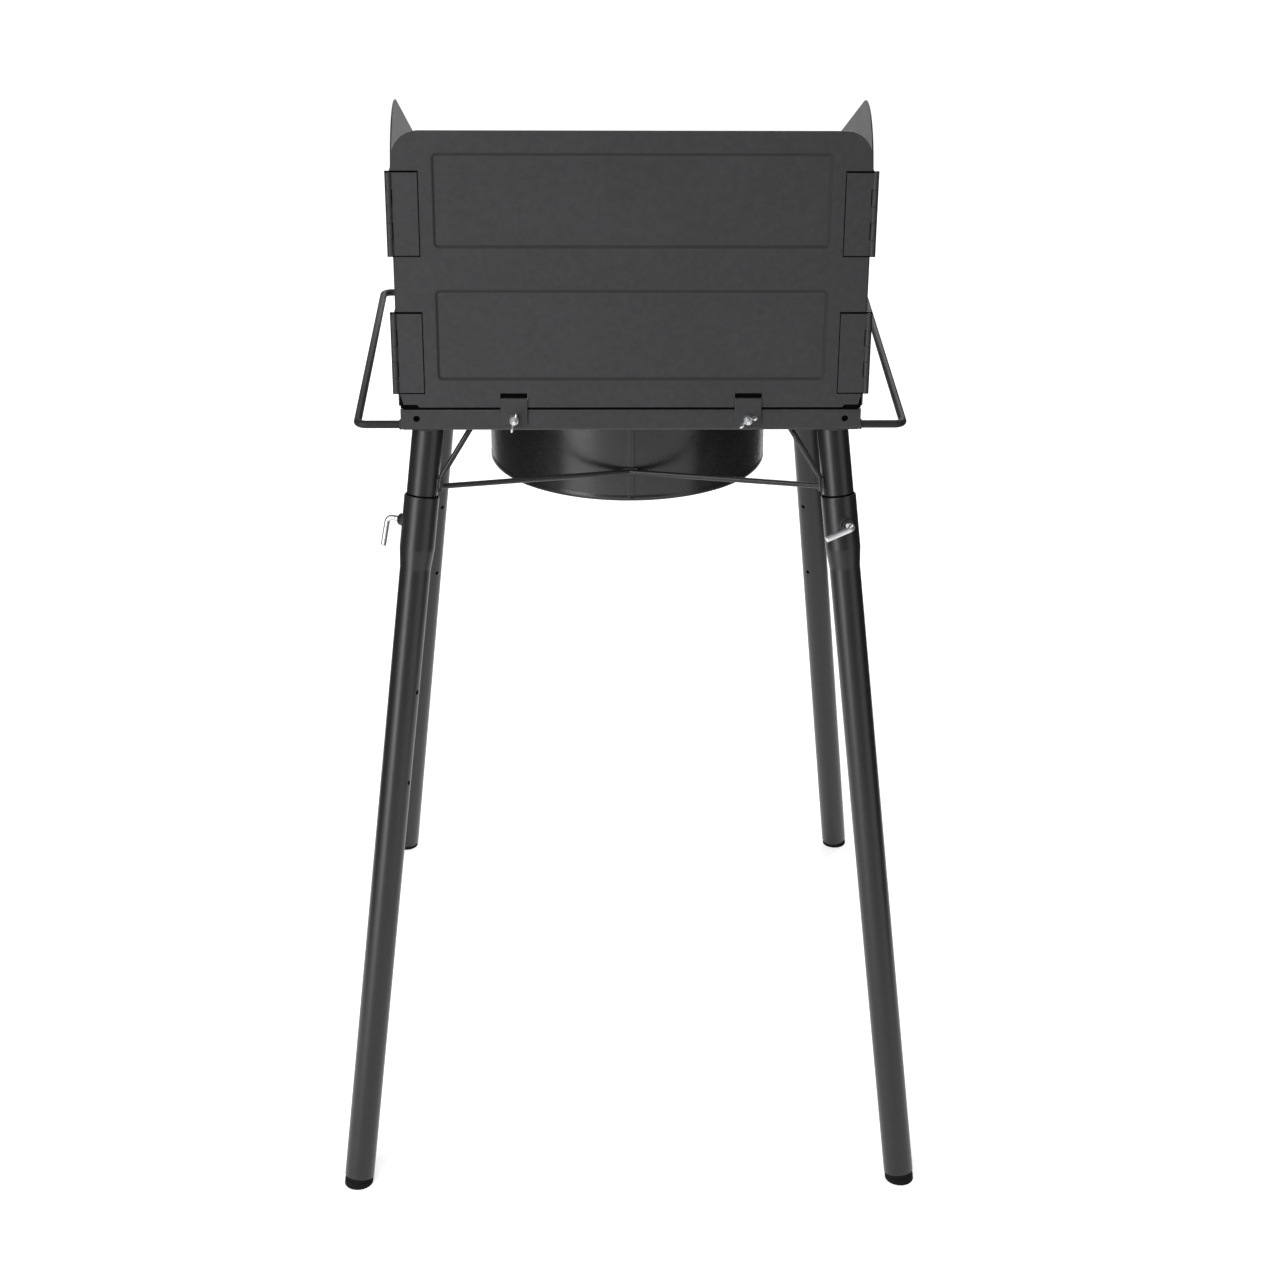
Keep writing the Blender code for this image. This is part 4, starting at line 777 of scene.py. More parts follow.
def dress_leg(corner):
    place, body = leg_place(corner), f"{corner}_leg"
    mouth, end = SCREW_TO_MOUTH, tube_end(place)
    shoulder = mouth - SOCKET_LENGTH
    outer = steps_from(SOCKET_OUTER, mouth, (-0.0005, 0), (-0.0001, -0.0003), (0, -0.0008), (0, -0.002))
    outer.append((SOCKET_OUTER, shoulder + 0.002))
    outer += [(SOCKET_OUTER + (TUBE_RADIUS - SOCKET_OUTER) * t, shoulder - SOCKET_TAPER * t) for t in ease(10)]
    outer += [(TUBE_RADIUS, z) for z in (shoulder - SOCKET_TAPER - 0.002, -0.15, -0.3, -0.45, end + 0.003, end + 0.001)]
    outer += steps_from(TUBE_RADIUS, end, (-0.0001, 0.0003), (-0.0004, 0))
    inner = [(TUBE_BORE, end), (TUBE_BORE, shoulder - SOCKET_TAPER), (SOCKET_OUTER - TUBE_WALL, shoulder),
             (SOCKET_OUTER - TUBE_WALL, mouth)]
    tube = turned(f"{corner}_leg_tube", outer + inner, 72, place, BLACK)
    bm = bmesh.new()
    for drop in LEG_HOLES:
        hole = place @ axes((0, 0, -drop), (-1, 0, 0), (0, 0, 1))
        plug_into(bm, LEG_HOLE_RADIUS, TUBE_RADIUS * 0.4, TUBE_RADIUS * 1.2, hole)
    carve(tube, piece_from("leg_holes", bm, BLACK))
    wear_for(tube, body)
    # Painted shade: a black ring round the stub just above the socket's mouth, for the shadow in the gap there
    ring = steps_from(TUBE_RADIUS, mouth, (0.00005, -0.0004), (0.0006, -0.0004), (0.0006, 0.0002),
                      (0.00015, 0.0013), (0.00005, 0.0013))
    trim(turned(f"{corner}_mouth_shade", ring, 72, place, SHADE), body=body)

    face, crown, bore = SOCKET_OUTER - 0.0012, SOCKET_OUTER + BOSS_HEIGHT, SCREW_RADIUS + 0.0002
    boss = [(bore, face), (BOSS_RADIUS, face)]
    boss += steps_from(BOSS_RADIUS, crown, (0, -0.0011), (-0.0003, -0.0004), (-0.0010, 0))
    boss += steps_from(bore, crown, (0.0005, 0), (0, -0.0005))
    trim(turned(f"{corner}_screw_boss", boss, 40, place @ along_screw(0), BLACK), body=body)
    ring = [place @ Vector((math.sqrt(SOCKET_OUTER ** 2 - across ** 2), across, up))
            for across, up in circle(BOSS_RADIUS, 40, 1)]
    weld(f"{corner}_boss_weld", [ring], 0.0011, 3, body)


def dress_stub(corner):
    place = leg_place(corner)
    turn = place.to_3x3()
    up = turn.col[2]
    low, high = SCREW_TO_MOUTH - SOCKET_LENGTH + 0.001, STUB_UNCUT
    bm = bmesh.new()
    turn_into(bm, [(TUBE_RADIUS, low), (TUBE_RADIUS, high), (TUBE_BORE, high), (TUBE_BORE, low)], 72, place)
    cut_level(bm, RAIL_BOTTOM - 0.0001, clear_outer=True)
    wear_for(piece_from(f"{corner}_stub_tube", bm, BLACK), f"{corner}_stub")
    top = place @ Vector((0, 0, SCREW_FROM_RAIL))
    ring = []
    for a, b in circle(1.0, 40, 1):
        spoke = turn @ Vector((a, b, 0)) * (TUBE_RADIUS + 0.0004)
        ring.append(top + spoke - up * (spoke.z / up.z) - Vector((0, 0, 0.0008)))
    weld(f"{corner}_stub_weld", [ring], 0.0016, 5)


def dress_foot(corner):
    place = leg_place(corner)
    end, plug = tube_end(place), TUBE_BORE - GAP
    profile = [(0, end + 0.004), (plug, end + 0.004), (plug, end - 0.0001)]
    profile += steps_from(FOOT_RADIUS, end, (-0.0006, -0.0001), (0, -0.0008), (0, -0.0024), (-0.0007, -0.0030),
                          (-0.0007, -0.0036), (0, -0.0042), (0, -0.02), (-FOOT_RADIUS, -0.02))
    bm = bmesh.new()
    turn_into(bm, profile, 64, place)
    cut_level(bm, 0, clear_inner=True)
    bmesh.ops.holes_fill(bm, edges=[e for e in bm.edges if e.is_boundary])
    wear_for(soften(piece_from(f"{corner}_foot_cap", bm, FINISHES["black_rubber"]), 0.0004), f"{corner}_foot")


def rod_piece(name, path, radius, node, nose=0.0004, paint=BLACK):
    bm = bmesh.new()
    sweep_into(bm, path, radius, 28, nose)
    wear_for(piece_from(name, bm, paint), node)


def dress_lock_screw(corner):
    place, body = leg_place(corner), f"{corner}_lock_screw"
    start, reach = TUBE_RADIUS + GAP, TUBE_RADIUS + GAP + SCREW_REACH
    turn = math.radians(SCREW_TURN[corner])
    arm = Vector((reach, math.sin(turn) * SCREW_ARM, -math.cos(turn) * SCREW_ARM))
    path = [place @ p for p in rounded_path([(start, 0, 0), (reach, 0, 0), arm], SCREW_BEND, 12)]
    rod_piece(f"{corner}_screw_rod", path, SCREW_RADIUS, body, 0.0005, ZINC)
    thread(f"{corner}_screw_thread", SCREW_RADIUS, reach - start - SCREW_BEND - 0.001, SCREW_PITCH,
           place @ along_screw(start + 0.0005), "zinc_plated_steel", body)


for corner in CORNERS:
    dress_leg(corner)
    dress_stub(corner)
    dress_foot(corner)
    dress_lock_screw(corner)


# Frame, handles, bracing and grate

def leg_axis(side_x, side_y, drop, z):
    """A leg's own axis at a drop below the rails."""
    return Vector((side_x * (LEG_TOP[0] + drop * math.tan(SPLAY_SIDE)),
                   side_y * (LEG_TOP[1] + drop * math.tan(SPLAY_BACK)), z))


def stub_side(side_x, side_y, drop, swing):
    """Middle of a rod that lies against a stub, at a drop below the rails."""
    clear = TUBE_RADIUS / math.cos(SPLAY_SIDE) + BRACE_RADIUS + GAP
    x = LEG_TOP[0] + drop * math.tan(SPLAY_SIDE) - clear * math.cos(swing)
    y = LEG_TOP[1] + drop * math.tan(SPLAY_BACK) + clear * math.sin(swing)
    return Vector((side_x * x, side_y * y, RAIL_BOTTOM - drop))


def both_sides(start, end, across):
    """Two weld seams, one along each side of a rod."""
    return [[start + across * hand, end + across * hand] for hand in (-1, 1)]


def dress_rods():
    seams = []
    for corner, (side_x, side_y) in CORNERS.items():
        low, knee = (stub_side(side_x, side_y, drop, BRACE_SWING) for drop in (BRACE_DROP + 0.010, BRACE_DROP))
        head = Vector((side_x * (LEG_TOP[0] - BRACE_RUN), side_y * LEG_TOP[1], RAIL_BOTTOM - GAP))
        head.z -= BRACE_RADIUS * math.sin((head - knee).angle(Vector((0, 0, 1))))
        rod_piece(f"{corner}_brace_rod", rounded_path([low, knee, head], 0.006), BRACE_RADIUS, f"{corner}_brace")
        inward = leg_axis(side_x, side_y, BRACE_DROP, knee.z) - knee
        near = inward.normalized() * 0.0020
        seams += both_sides(low + near, knee.lerp(low, 0.2) + near, inward.cross(low - knee).normalized() * 0.0022)
        seams.append(circle_points((head.x, head.y, RAIL_BOTTOM - 0.0006), (0, 0, 1), 0.0028, 16))
        start, end = (stub_side(side_x, side_y, CROSS_DROP + more, CROSS_SWING) for more in (0.0040, -0.0010))
        near = (leg_axis(side_x, side_y, CROSS_DROP, start.z) - start).normalized() * 0.0018
        seams += both_sides(start + near, end + near, near.cross(start - end).normalized() * 0.0022)
    for name, side_y in (("back", 1), ("front", -1)):
        point = Vector((0, DRUM_Y + side_y * (DRUM_RADIUS + BRACE_RADIUS + GAP / 2), RAIL_BOTTOM - CROSS_DROP))
        left, right = ([stub_side(side_x, side_y, CROSS_DROP + more, CROSS_SWING) for more in (0.0045, 0)]
                       for side_x in (-1, 1))
        path = rounded_path([*left, point, *reversed(right)], 0.0035)
        rod_piece(f"{name}_cross_rod_bar", path, BRACE_RADIUS, f"{name}_cross_rod")
        y = DRUM_Y + side_y * (DRUM_RADIUS + 0.0010)
        seams += [[(x, y, point.z + lift) for x in (-0.0065, 0.0065)] for lift in (-0.0022, 0.0022)]
    weld("rod_welds", seams, 0.0013, 7)


def dress_handles():
    rings = []
    for name, side in SIDES.items():
        face = side * (HALF_WIDTH + GAP)
        path = rounded_path([(face, HANDLE_END_Y, HANDLE_Z), (side * HANDLE_BACK_X, HANDLE_END_Y, HANDLE_Z),
                             (side * HANDLE_FRONT_X, -HANDLE_END_Y, HANDLE_Z), (face, -HANDLE_END_Y, HANDLE_Z)],
                            HANDLE_BEND, 14)
        rod_piece(f"{name}_handle_bar", path, HANDLE_RADIUS, f"{name}_handle", 0.0, HANDLE_PAINT)
        rings += [circle_points((side * (HALF_WIDTH + 0.0005), end * HANDLE_END_Y, HANDLE_Z), (1, 0, 0),
                                HANDLE_RADIUS + 0.0002, 24) for end in (-1, 1)]
    weld("handle_welds", rings, 0.0011, 11)


def grate_bar(name, reach, place):
    """A flat bar on edge across the frame, whose ears rest on two rails; its edges are rounded over."""
    body, ear = reach - FLANGE_EDGE - GAP, reach - FLANGE_EDGE + GRATE_EAR
    half = [(body, GRATE_LOW), (body, GRATE_SEAT), (ear, GRATE_SEAT), (ear, GRATE_TOP)]
    bm = bmesh.new()
    outline = [(-body, GRATE_LOW), *half, *((-a, b) for a, b in half[:0:-1])]
    prism_into(bm, outline, -GRATE_BAR / 2, GRATE_BAR / 2, place)
    bmesh.ops.recalc_face_normals(bm, faces=bm.faces)
    bmesh.ops.bevel(bm, geom=bm.edges[:], offset=0.0005, segments=2, affect="EDGES", profile=0.5)
    return mesh_from(name, bm, False)


def dress_grate():
    bar = grate_bar("long_bar", HALF_DEPTH, lambda a, b, c: (c, a, b))
    wear_for(ROW.run("grate_long_bars", bar, 35, Count=GRATE_BARS, Pitch=GRATE_PITCH, Material=BLACK), "cooking_grate")
    seams = []
    for name, y in (("front", DRUM_Y - GRATE_CROSS_Y), ("back", DRUM_Y + GRATE_CROSS_Y)):
        mesh = smooth(grate_bar(f"grate_{name}_bar", HALF_WIDTH, lambda a, b, c: (a, y + c, b - 0.00002)))
        mesh.materials.append(BLACK)
        trim(new_object(f"grate_{name}_cross_bar", mesh))
        for k in range(GRATE_BARS):
            x = (k - (GRATE_BARS - 1) / 2) * GRATE_PITCH
            for dx, dy in ((-1, -1), (1, -1), (1, 1), (-1, 1)):
                at = (x + dx * 0.0023, y + dy * 0.0023)
                seams.append([(*at, GRATE_LOW + 0.0015), (*at, GRATE_TOP - 0.0022)])
    weld("grate_welds", seams, 0.0010, 13)


dress_rods()
dress_handles()
dress_grate()
for node in ("back_rail", "front_rail", "left_rail", "right_rail"):
    refined(node, 0.0008, GREY, 3)


# Drum and burner

def dress_drum():
    """Rolled wall with a raised lock seam down the back."""
    seam = math.pi / 2 + 0.002 / DRUM_RADIUS
    turns = [(2 * math.pi * k / 200, 0.0) for k in range(200)]
    turns = [(t, h) for t, h in turns if abs(t - seam) > 0.0035 / DRUM_RADIUS]
    turns += [(seam + offset / DRUM_RADIUS, height) for offset, height in
              ((-0.0028, 0), (-0.0024, 0.0001), (-0.0020, 0.0005), (0.0020, 0.0005), (0.0024, 0.0001), (0.0028, 0))]
    turns.sort()
    roll = DRUM_WALL / 2
    rim = [(-roll, 0), (-roll * 0.35, roll * 0.25), (0, roll), (0, 0.0042), (-0.0002, 0.0047), (-0.0002, 0.0060)]
    hem = [(-DRUM_WALL, 0.0045), (-DRUM_WALL * 1.4, 0.004), (-DRUM_WALL * 1.4, roll * 0.5)]
    profile = steps_from(DRUM_RADIUS, DRUM_LOW, *rim)
    profile += steps_from(DRUM_RADIUS, DRUM_HIGH, *((out, -up) for out, up in (*reversed(rim), *reversed(hem))))
    profile += steps_from(DRUM_RADIUS, DRUM_LOW, *hem)
    bm = bmesh.new()
    rings = []
    for k, (radius, z) in enumerate(profile):
        proud = 1 if 2 <= k <= 9 else 0
        rings.append([bm.verts.new(((radius + height * proud) * math.cos(turn),
                                    DRUM_Y + (radius + height * proud) * math.sin(turn), z)) for turn, height in turns])
    for k in range(len(rings)):
        bridge(bm, rings[k], rings[(k + 1) % len(rings)])
    wall = piece_from("drum_wall", bm, DRUM_PAINT, 50)
    half = DRUM_WINDOW / 2
    window = rectangle(-half, half, MIX_Z - half, MIX_Z + half, 0.005, 8)
    carve(wall, extruded("drum_window", window, DRUM_Y - DRUM_RADIUS * 1.1, DRUM_Y - DRUM_RADIUS * 0.8,
                         lambda a, b, c: (a, c, b), BLACK))
    wear_for(wall, "burner_drum")


def dress_bowl():
    rim, floor, bore = BURNER_RIM_Z, BOWL_LOW, BURNER_BOLT_BORE
    profile = [(bore, floor), *steps_from(BOWL_FLOOR_RADIUS, floor, (-0.003, 0), (0, 0.0010))]
    profile += [(BOWL_FLOOR_RADIUS + 0.0008 + (BURNER_RADIUS - 0.0016 - BOWL_FLOOR_RADIUS) * t,
                 floor + 0.0020 + (rim - 0.0100 - floor) * (t ** 1.25)) for t in ease(8)]
    profile += steps_from(BURNER_RADIUS, rim, (0, -0.0070), (0, -0.0005), (-0.0005, 0), (-BOWL_WALL, 0),
                          (-BOWL_WALL, -0.007))
    profile += [(BOWL_FLOOR_RADIUS - BOWL_WALL, floor + BOWL_WALL), (bore, floor + BOWL_WALL)]
    wear_for(turned("burner_bowl", profile, 96, BURNER_LINE, CAST), "burner_body")


def dress_mixing_tube():
    mouth, root, hole = MIX_MOUTH_Y, DRUM_Y - BOWL_FLOOR_RADIUS - 0.004, JET_RADIUS + GAP
    web = mouth + MIX_WALL
    outer = [(hole, mouth), *steps_from(MIX_BELL, mouth, (-0.0006, 0), (0, 0.0006), (0, 0.004))]
    outer += [(MIX_BELL + (MIX_RADIUS - MIX_BELL) * t, mouth + 0.004 + (BELL_LENGTH - 0.004) * t) for t in ease(10)]
    outer += steps_from(MIX_RADIUS, root, (0, -0.012), (0.0035, 0))
    inner = [(MIX_RADIUS - MIX_WALL, root), (MIX_RADIUS - MIX_WALL, mouth + BELL_LENGTH),
             (MIX_BELL - MIX_WALL, web), (hole, web)]
    tube = turned("mixing_tube", outer + inner, 64, VALVE_LINE, CAST)
    bm = bmesh.new()
    for up, across in circle(AIR_WINDOW_RING, 3):
        plug_into(bm, AIR_WINDOW_RADIUS, mouth - 0.001, web + 0.001, Matrix.Translation((across, 0, up)) @ VALVE_LINE)
    carve(tube, piece_from("air_windows", bm, CAST))
    trim(tube)


def dress_lid():
    skirt, roof = BURNER_RADIUS - BOWL_WALL, LID_BASE + PORT_HEIGHT
    profile = [(0, roof), *steps_from(BURNER_RADIUS, roof, (0, 0), (0, 0.0012), (-0.0006, 0.0022))]
    profile += steps_from(BURNER_RADIUS, LID_TOP, (-0.0045, -0.0008), (-0.0060, -0.0003), (-0.0080, -0.0012))
    profile += steps_from(0, LID_TOP, (0.030, -0.0006), (0.0215, 0), (0.0195, 0), (0.0165, -0.0020), (0, -0.0020))
    wear_for(turned("burner_cap", profile, 96, BURNER_LINE, CAST, 25), "burner_lid")
    half = math.pi / PORTS - PORT_WIDTH / 2 / BURNER_RADIUS
    fan = [half * k / 2 for k in range(-2, 3)]
    sector = [(BURNER_RADIUS * math.cos(t), BURNER_RADIUS * math.sin(t)) for t in fan]
    sector += [(skirt * math.cos(t), skirt * math.sin(t)) for t in reversed(fan)]
    bm = bmesh.new()
    prism_into(bm, sector, LID_BASE, roof + 0.0002)
    ring_of("burner_port_lands", PORTS, bm, BURNER_LINE, "cast_aluminium")


def dress_strap_welds():
    x = math.sqrt((DRUM_RADIUS - DRUM_WALL) ** 2 - STRAP_HALF_WIDTH ** 2) - 0.0006
    weld("strap_welds", [[(side * x, DRUM_Y + end * (STRAP_HALF_WIDTH + 0.0004), z) for z in STRAP_WELD]
                         for side in (-1, 1) for end in (-1, 1)], 0.0013, 17)


dress_drum()
dress_bowl()
dress_mixing_tube()
dress_lid()
refined("burner_strap", 0.0004)
refined("burner_bolt", 0.0004)
dress_strap_welds()


# Control side

def dress_controls():
    seat, front = PANEL_FACE_Y + 0.0018, PANEL_FACE_Y - 0.0075
    back = seat + 0.0300
    body = steps_from(0, back, (0, 0), (0.0072, 0), (0.0080, -0.0008), (0.0080, -0.006), (0.0100, -0.0080),
                      (VALVE_RADIUS, -0.0090))
    body += steps_from(0, seat, (VALVE_RADIUS, 0.0100), (0.0104, 0.0094), (0.0104, 0.0080), (VALVE_RADIUS, 0.0074),
                       (VALVE_RADIUS, 0.0020), (0.0100, 0.0006), (0.0090, 0), (0.0060, 0))
    body += steps_from(0, front, (0.0060, 0.0006), (0.0054, 0), (0.0035, 0), (0.0034, 0.0150), (0, 0.0150))
    wear_for(turned("valve_body", body, 64, VALVE_LINE, BRASS), "gas_valve")
    neck = VALVE_LINE @ Matrix.Translation((0, 0, front + 0.0006))
    thread("valve_neck_thread", 0.0060, 0.0068, 0.0010, neck, "brass")
    start, tip = JET_BACK_Y, MIX_MOUTH_Y + MIX_WALL
    jet = [(0, start), *steps_from(JET_RADIUS, start, (-0.0003, 0), (0, 0.0004), (0, 0.0050), (-0.0008, 0.0056),
                                   (-0.0008, 0.0070), (0, 0.0076))]
    jet += steps_from(JET_RADIUS, tip, (0, -0.004), (-0.0025, 0))
    jet += steps_from(0, tip, (0.0006, 0), (0.0006, -0.002), (0, -0.002))
    wear_for(turned("jet_body", jet, 40, VALVE_LINE, BRASS), "gas_jet")

    top = MIX_Z - VALVE_RADIUS - GAP
    low = top - INLET_LENGTH
    inlet = Matrix.Translation((0, INLET_Y, 0))
    spigot = [(0, top - 0.004), (0.0035, top - 0.004), (0.0035, low)]
    spigot += steps_from(INLET_RADIUS, low, (-0.0012, 0), (-0.0004, 0.0008))
    spigot += steps_from(INLET_RADIUS, top, (-0.0004, -0.0108), (-0.0012, -0.0102), (0, -0.0098), (0, 0))
    wear_for(turned("inlet_spigot", [*spigot, (0, top)], 48, inlet, BRASS), "gas_inlet")
    thread("inlet_thread", INLET_RADIUS, 0.0112, 0.0012, inlet @ Matrix.Translation((0, 0, low + 0.0012)), "brass")
    flats = extruded("inlet_hexagon", circle(INLET_HEXAGON, 6), top - 0.010, top - 0.003,
                     lambda *p: inlet @ Vector(p), BRASS)
    trim(even_shading(soften(flats, 0.0005)))
    for node, width in (("panel_nut", 0.0004), ("valve_stem", 0.0003), ("control_panel", 0.0003),
                        ("air_shutter", 0.0002)):
        refined(node, width)


def dress_knob():
    back, bore, edge = KNOB_BACK_Y, 0.0033, KNOB_RADIUS - 0.0003
    front = back - 0.0050
    skirt = [(bore, back), (KNOB_RADIUS - 0.0010, back), (edge, back - 0.0004), (edge, front + 0.0012),
             (KNOB_RADIUS - 0.0012, front + 0.0003), (KNOB_RADIUS - 0.0030, front), (bore, front)]
    wear_for(turned("knob_skirt", skirt, 96, VALVE_LINE, PLASTIC), "control_knob")
    bm = bmesh.new()
    prism_into(bm, [(-0.0006, -0.0002), (-0.0003, 0.0003), (0.0003, 0.0003), (0.0006, -0.0002)], 0, 0.0034,
               lambda a, b, c: (edge + b, a, c))
    ring_of("knob_ribs", KNOB_RIBS, bm, VALVE_LINE @ Matrix.Translation((0, 0, back - 0.0040)), "black_plastic", "knob")
    reach, half = KNOB_RADIUS - 0.0035, KNOB_GRIP
    outline = [(half * math.cos(math.pi * k / 12), reach - half + half * math.sin(math.pi * k / 12)) for k in range(13)]
    outline += [(-a, -b) for a, b in outline]
    grip = extruded("knob_grip", outline, front - 0.0150, front + 0.001, lambda a, b, c: (a, c, MIX_Z + b), PLASTIC)
    trim(even_shading(soften(grip, 0.0014, 4)), "knob")
    pointer = extruded("knob_pointer", [(-0.0006, 0.0060), (0.0006, 0.0060), (0.0006, 0.0160), (-0.0006, 0.0160)],
                       front - 0.0152, front - 0.0140, lambda a, b, c: (a, c, MIX_Z + b), FINISHES["plain_steel"])
    trim(pointer, "knob")


dress_controls()
dress_knob()


# Windscreen

def dress_screen_back():
    """Sheet with two shallow pressings, slots for the clips and relieved lower corners."""
    bm = bmesh.new()
    edges = []

    def loop(points, depth=0.0, bounds=True):
        verts = [bm.verts.new((x, HALF_DEPTH - depth, z)) for x, z in points]
        if bounds:
            edges.extend(bm.edges.new((verts[i], verts[(i + 1) % len(verts)])) for i in range(len(verts)))
        return verts

    half, low, top = HALF_WIDTH, SCREEN_LOW, SCREEN_HIGH
    foot, chamfer = half - 0.0030, low + 0.0140
    loop(rounded_outline([
        (-SCREEN_NOTCH, low, 0), (SCREEN_NOTCH, low, 0), (SCREEN_NOTCH + 0.002, low + 0.0025, 0),
        (foot, low + 0.0025, 0), (half, chamfer, 0), (half, top, SCREEN_CORNER), (-half, top, SCREEN_CORNER),
        (-half, chamfer, 0), (-foot, low + 0.0025, 0), (-SCREEN_NOTCH - 0.002, low + 0.0025, 0)], 24))
    for side in (-1, 1):
        reach = CLIP_WIDTH / 2 + GAP
        loop(rectangle(side * CLIP_X - reach, side * CLIP_X + reach, *CLIP_SLOT, 0.0004))
    for below_top, below_low in PRESSINGS:
        z0, z1, wide = top - below_low, top - below_top, PRESSING_HALF_WIDTH
        flank = [(PRESSING_FLANK * k / 6, t) for k, t in enumerate(ease(6))]
        before = None
        for inset, t in ((-0.0006, 0.0), *flank, (PRESSING_FLANK + 0.0006, 1.0)):
            ring = loop(rectangle(-wide + inset, wide - inset, z0 + inset, z1 - inset, 0.0042 - inset),
                        PRESSING_DEPTH * t, before is None)
            if before:
                # the flanks take the painted crease shade
                for face in bridge(bm, before, ring):
                    face.material_index = 1
            before = ring
        bm.faces.new(before)
    bmesh.ops.triangle_fill(bm, edges=edges, use_beauty=True)
    bmesh.ops.recalc_face_normals(bm, faces=bm.faces)
    if sum(face.normal.y * face.calc_area() for face in bm.faces) < 0:
        bmesh.ops.reverse_faces(bm, faces=bm.faces)
    panel = piece_from("screen_back_sheet", bm, GREY, 35, False)
    # the second material is the painted crease shade on the flanks
    panel.data.materials.append(CREASE_SHADE)
    wall = panel.modifiers.new("sheet", "SOLIDIFY")
    wall.thickness = SCREEN_SHEET
    wall.offset = -1.0
    wall.use_even_offset = True
    wear_for(soften(panel, 0.00025, 2, 60), "windscreen_back")


def dress_wing(name, side):
    front_top = WING_PEAK - WING_LENGTH * math.tan(WING_SLOPE)
    outline = rounded_outline([(0, WING_LOW, 0.0015), (0, WING_PEAK, WING_SHOULDER),
                               (WING_LENGTH, front_top, WING_CORNER), (WING_LENGTH, WING_LOW, WING_TOE)], 28)
    outer, inner = (side * (HINGE_X - WING_FACE - depth) for depth in (0, SCREEN_SHEET))
    wing = extruded(f"{name}_wing_sheet", outline, inner, outer, lambda a, b, c: (c, HINGE_Y - WING_REAR - a, b), GREY)
    wear_for(even_shading(soften(wing, 0.0003)), f"{name}_wing")


def dress_wing_nut(name, side):
    """A tapered hub between two flat ears with rounded tips."""
    turn = Matrix.Rotation(math.radians(NUT_TURN[name]), 4, "Y")
    place = Matrix.Translation((side * CLIP_X, CLIP_FACE_Y + GAP, BOLT_Z)) @ turn
    hub = [(BOLT_RADIUS + 0.0002, 0), (NUT_HUB - 0.0003, 0), (NUT_HUB, 0.0003), (NUT_HUB, 0.0012)]
    hub += steps_from(NUT_TOP, NUT_LENGTH, (0.0002, -0.0008), (-0.0005, 0))
    hub += steps_from(BOLT_RADIUS, NUT_LENGTH, (0.0006, 0), (0.0002, -0.0004))
    wear_for(turned(f"{name}_nut_hub", hub, 48, place @ around_y(0), ZINC), f"{name}_wing_nut")
    half, tip = NUT_SPAN / 2, NUT_LENGTH + NUT_EAR_RISE
    bm = bmesh.new()
    for hand in (-1, 1):
        ear = rounded_outline([(hand * a, b, radius) for a, b, radius in (
            (NUT_TOP - 0.0010, 0.0012, 0), (half - 0.0036, NUT_LENGTH - 0.0034, 0.004),
            (half, NUT_LENGTH + 0.0002, 0.0022), (half, tip, 0.0022), (half - 0.0044, tip, 0.0018),
            (half - 0.0046, NUT_LENGTH + 0.0012, 0.0020), (NUT_TOP - 0.0010, NUT_LENGTH - 0.0012, 0))], 6)
        prism_into(bm, ear, -NUT_EAR_SHEET / 2, NUT_EAR_SHEET / 2, lambda *point: place @ Vector(point))
    ears = soften(piece_from(f"{name}_nut_ears", bm, ZINC), 0.0006, 3)
    trim(ears, f"{name}_wing_nut")


def dress_clip_bolt(name, side):
    seat, tip = HALF_DEPTH - 0.0021, CLIP_FACE_Y + 0.0115
    place = Matrix.Translation((side * CLIP_X, 0, 0)) @ around_y(BOLT_Z)
    core = BOLT_RADIUS - 0.0003
    shank = steps_from(0, seat, (0, -0.0028), (0.0030, -0.0028), (0.0042, -0.0020), (0.0045, -0.0010), (0.0045, 0))
    shank += [(core, seat), (core, tip - 0.0008), (core - 0.0006, tip), (0, tip)]
    wear_for(turned(f"{name}_bolt_shank", shank, 40, place, ZINC), f"{name}_clip_bolt")
    thread(f"{name}_bolt_thread", BOLT_RADIUS, 0.0130, SCREW_PITCH, place @ Matrix.Translation((0, 0, tip - 0.0140)),
           "zinc_plated_steel")


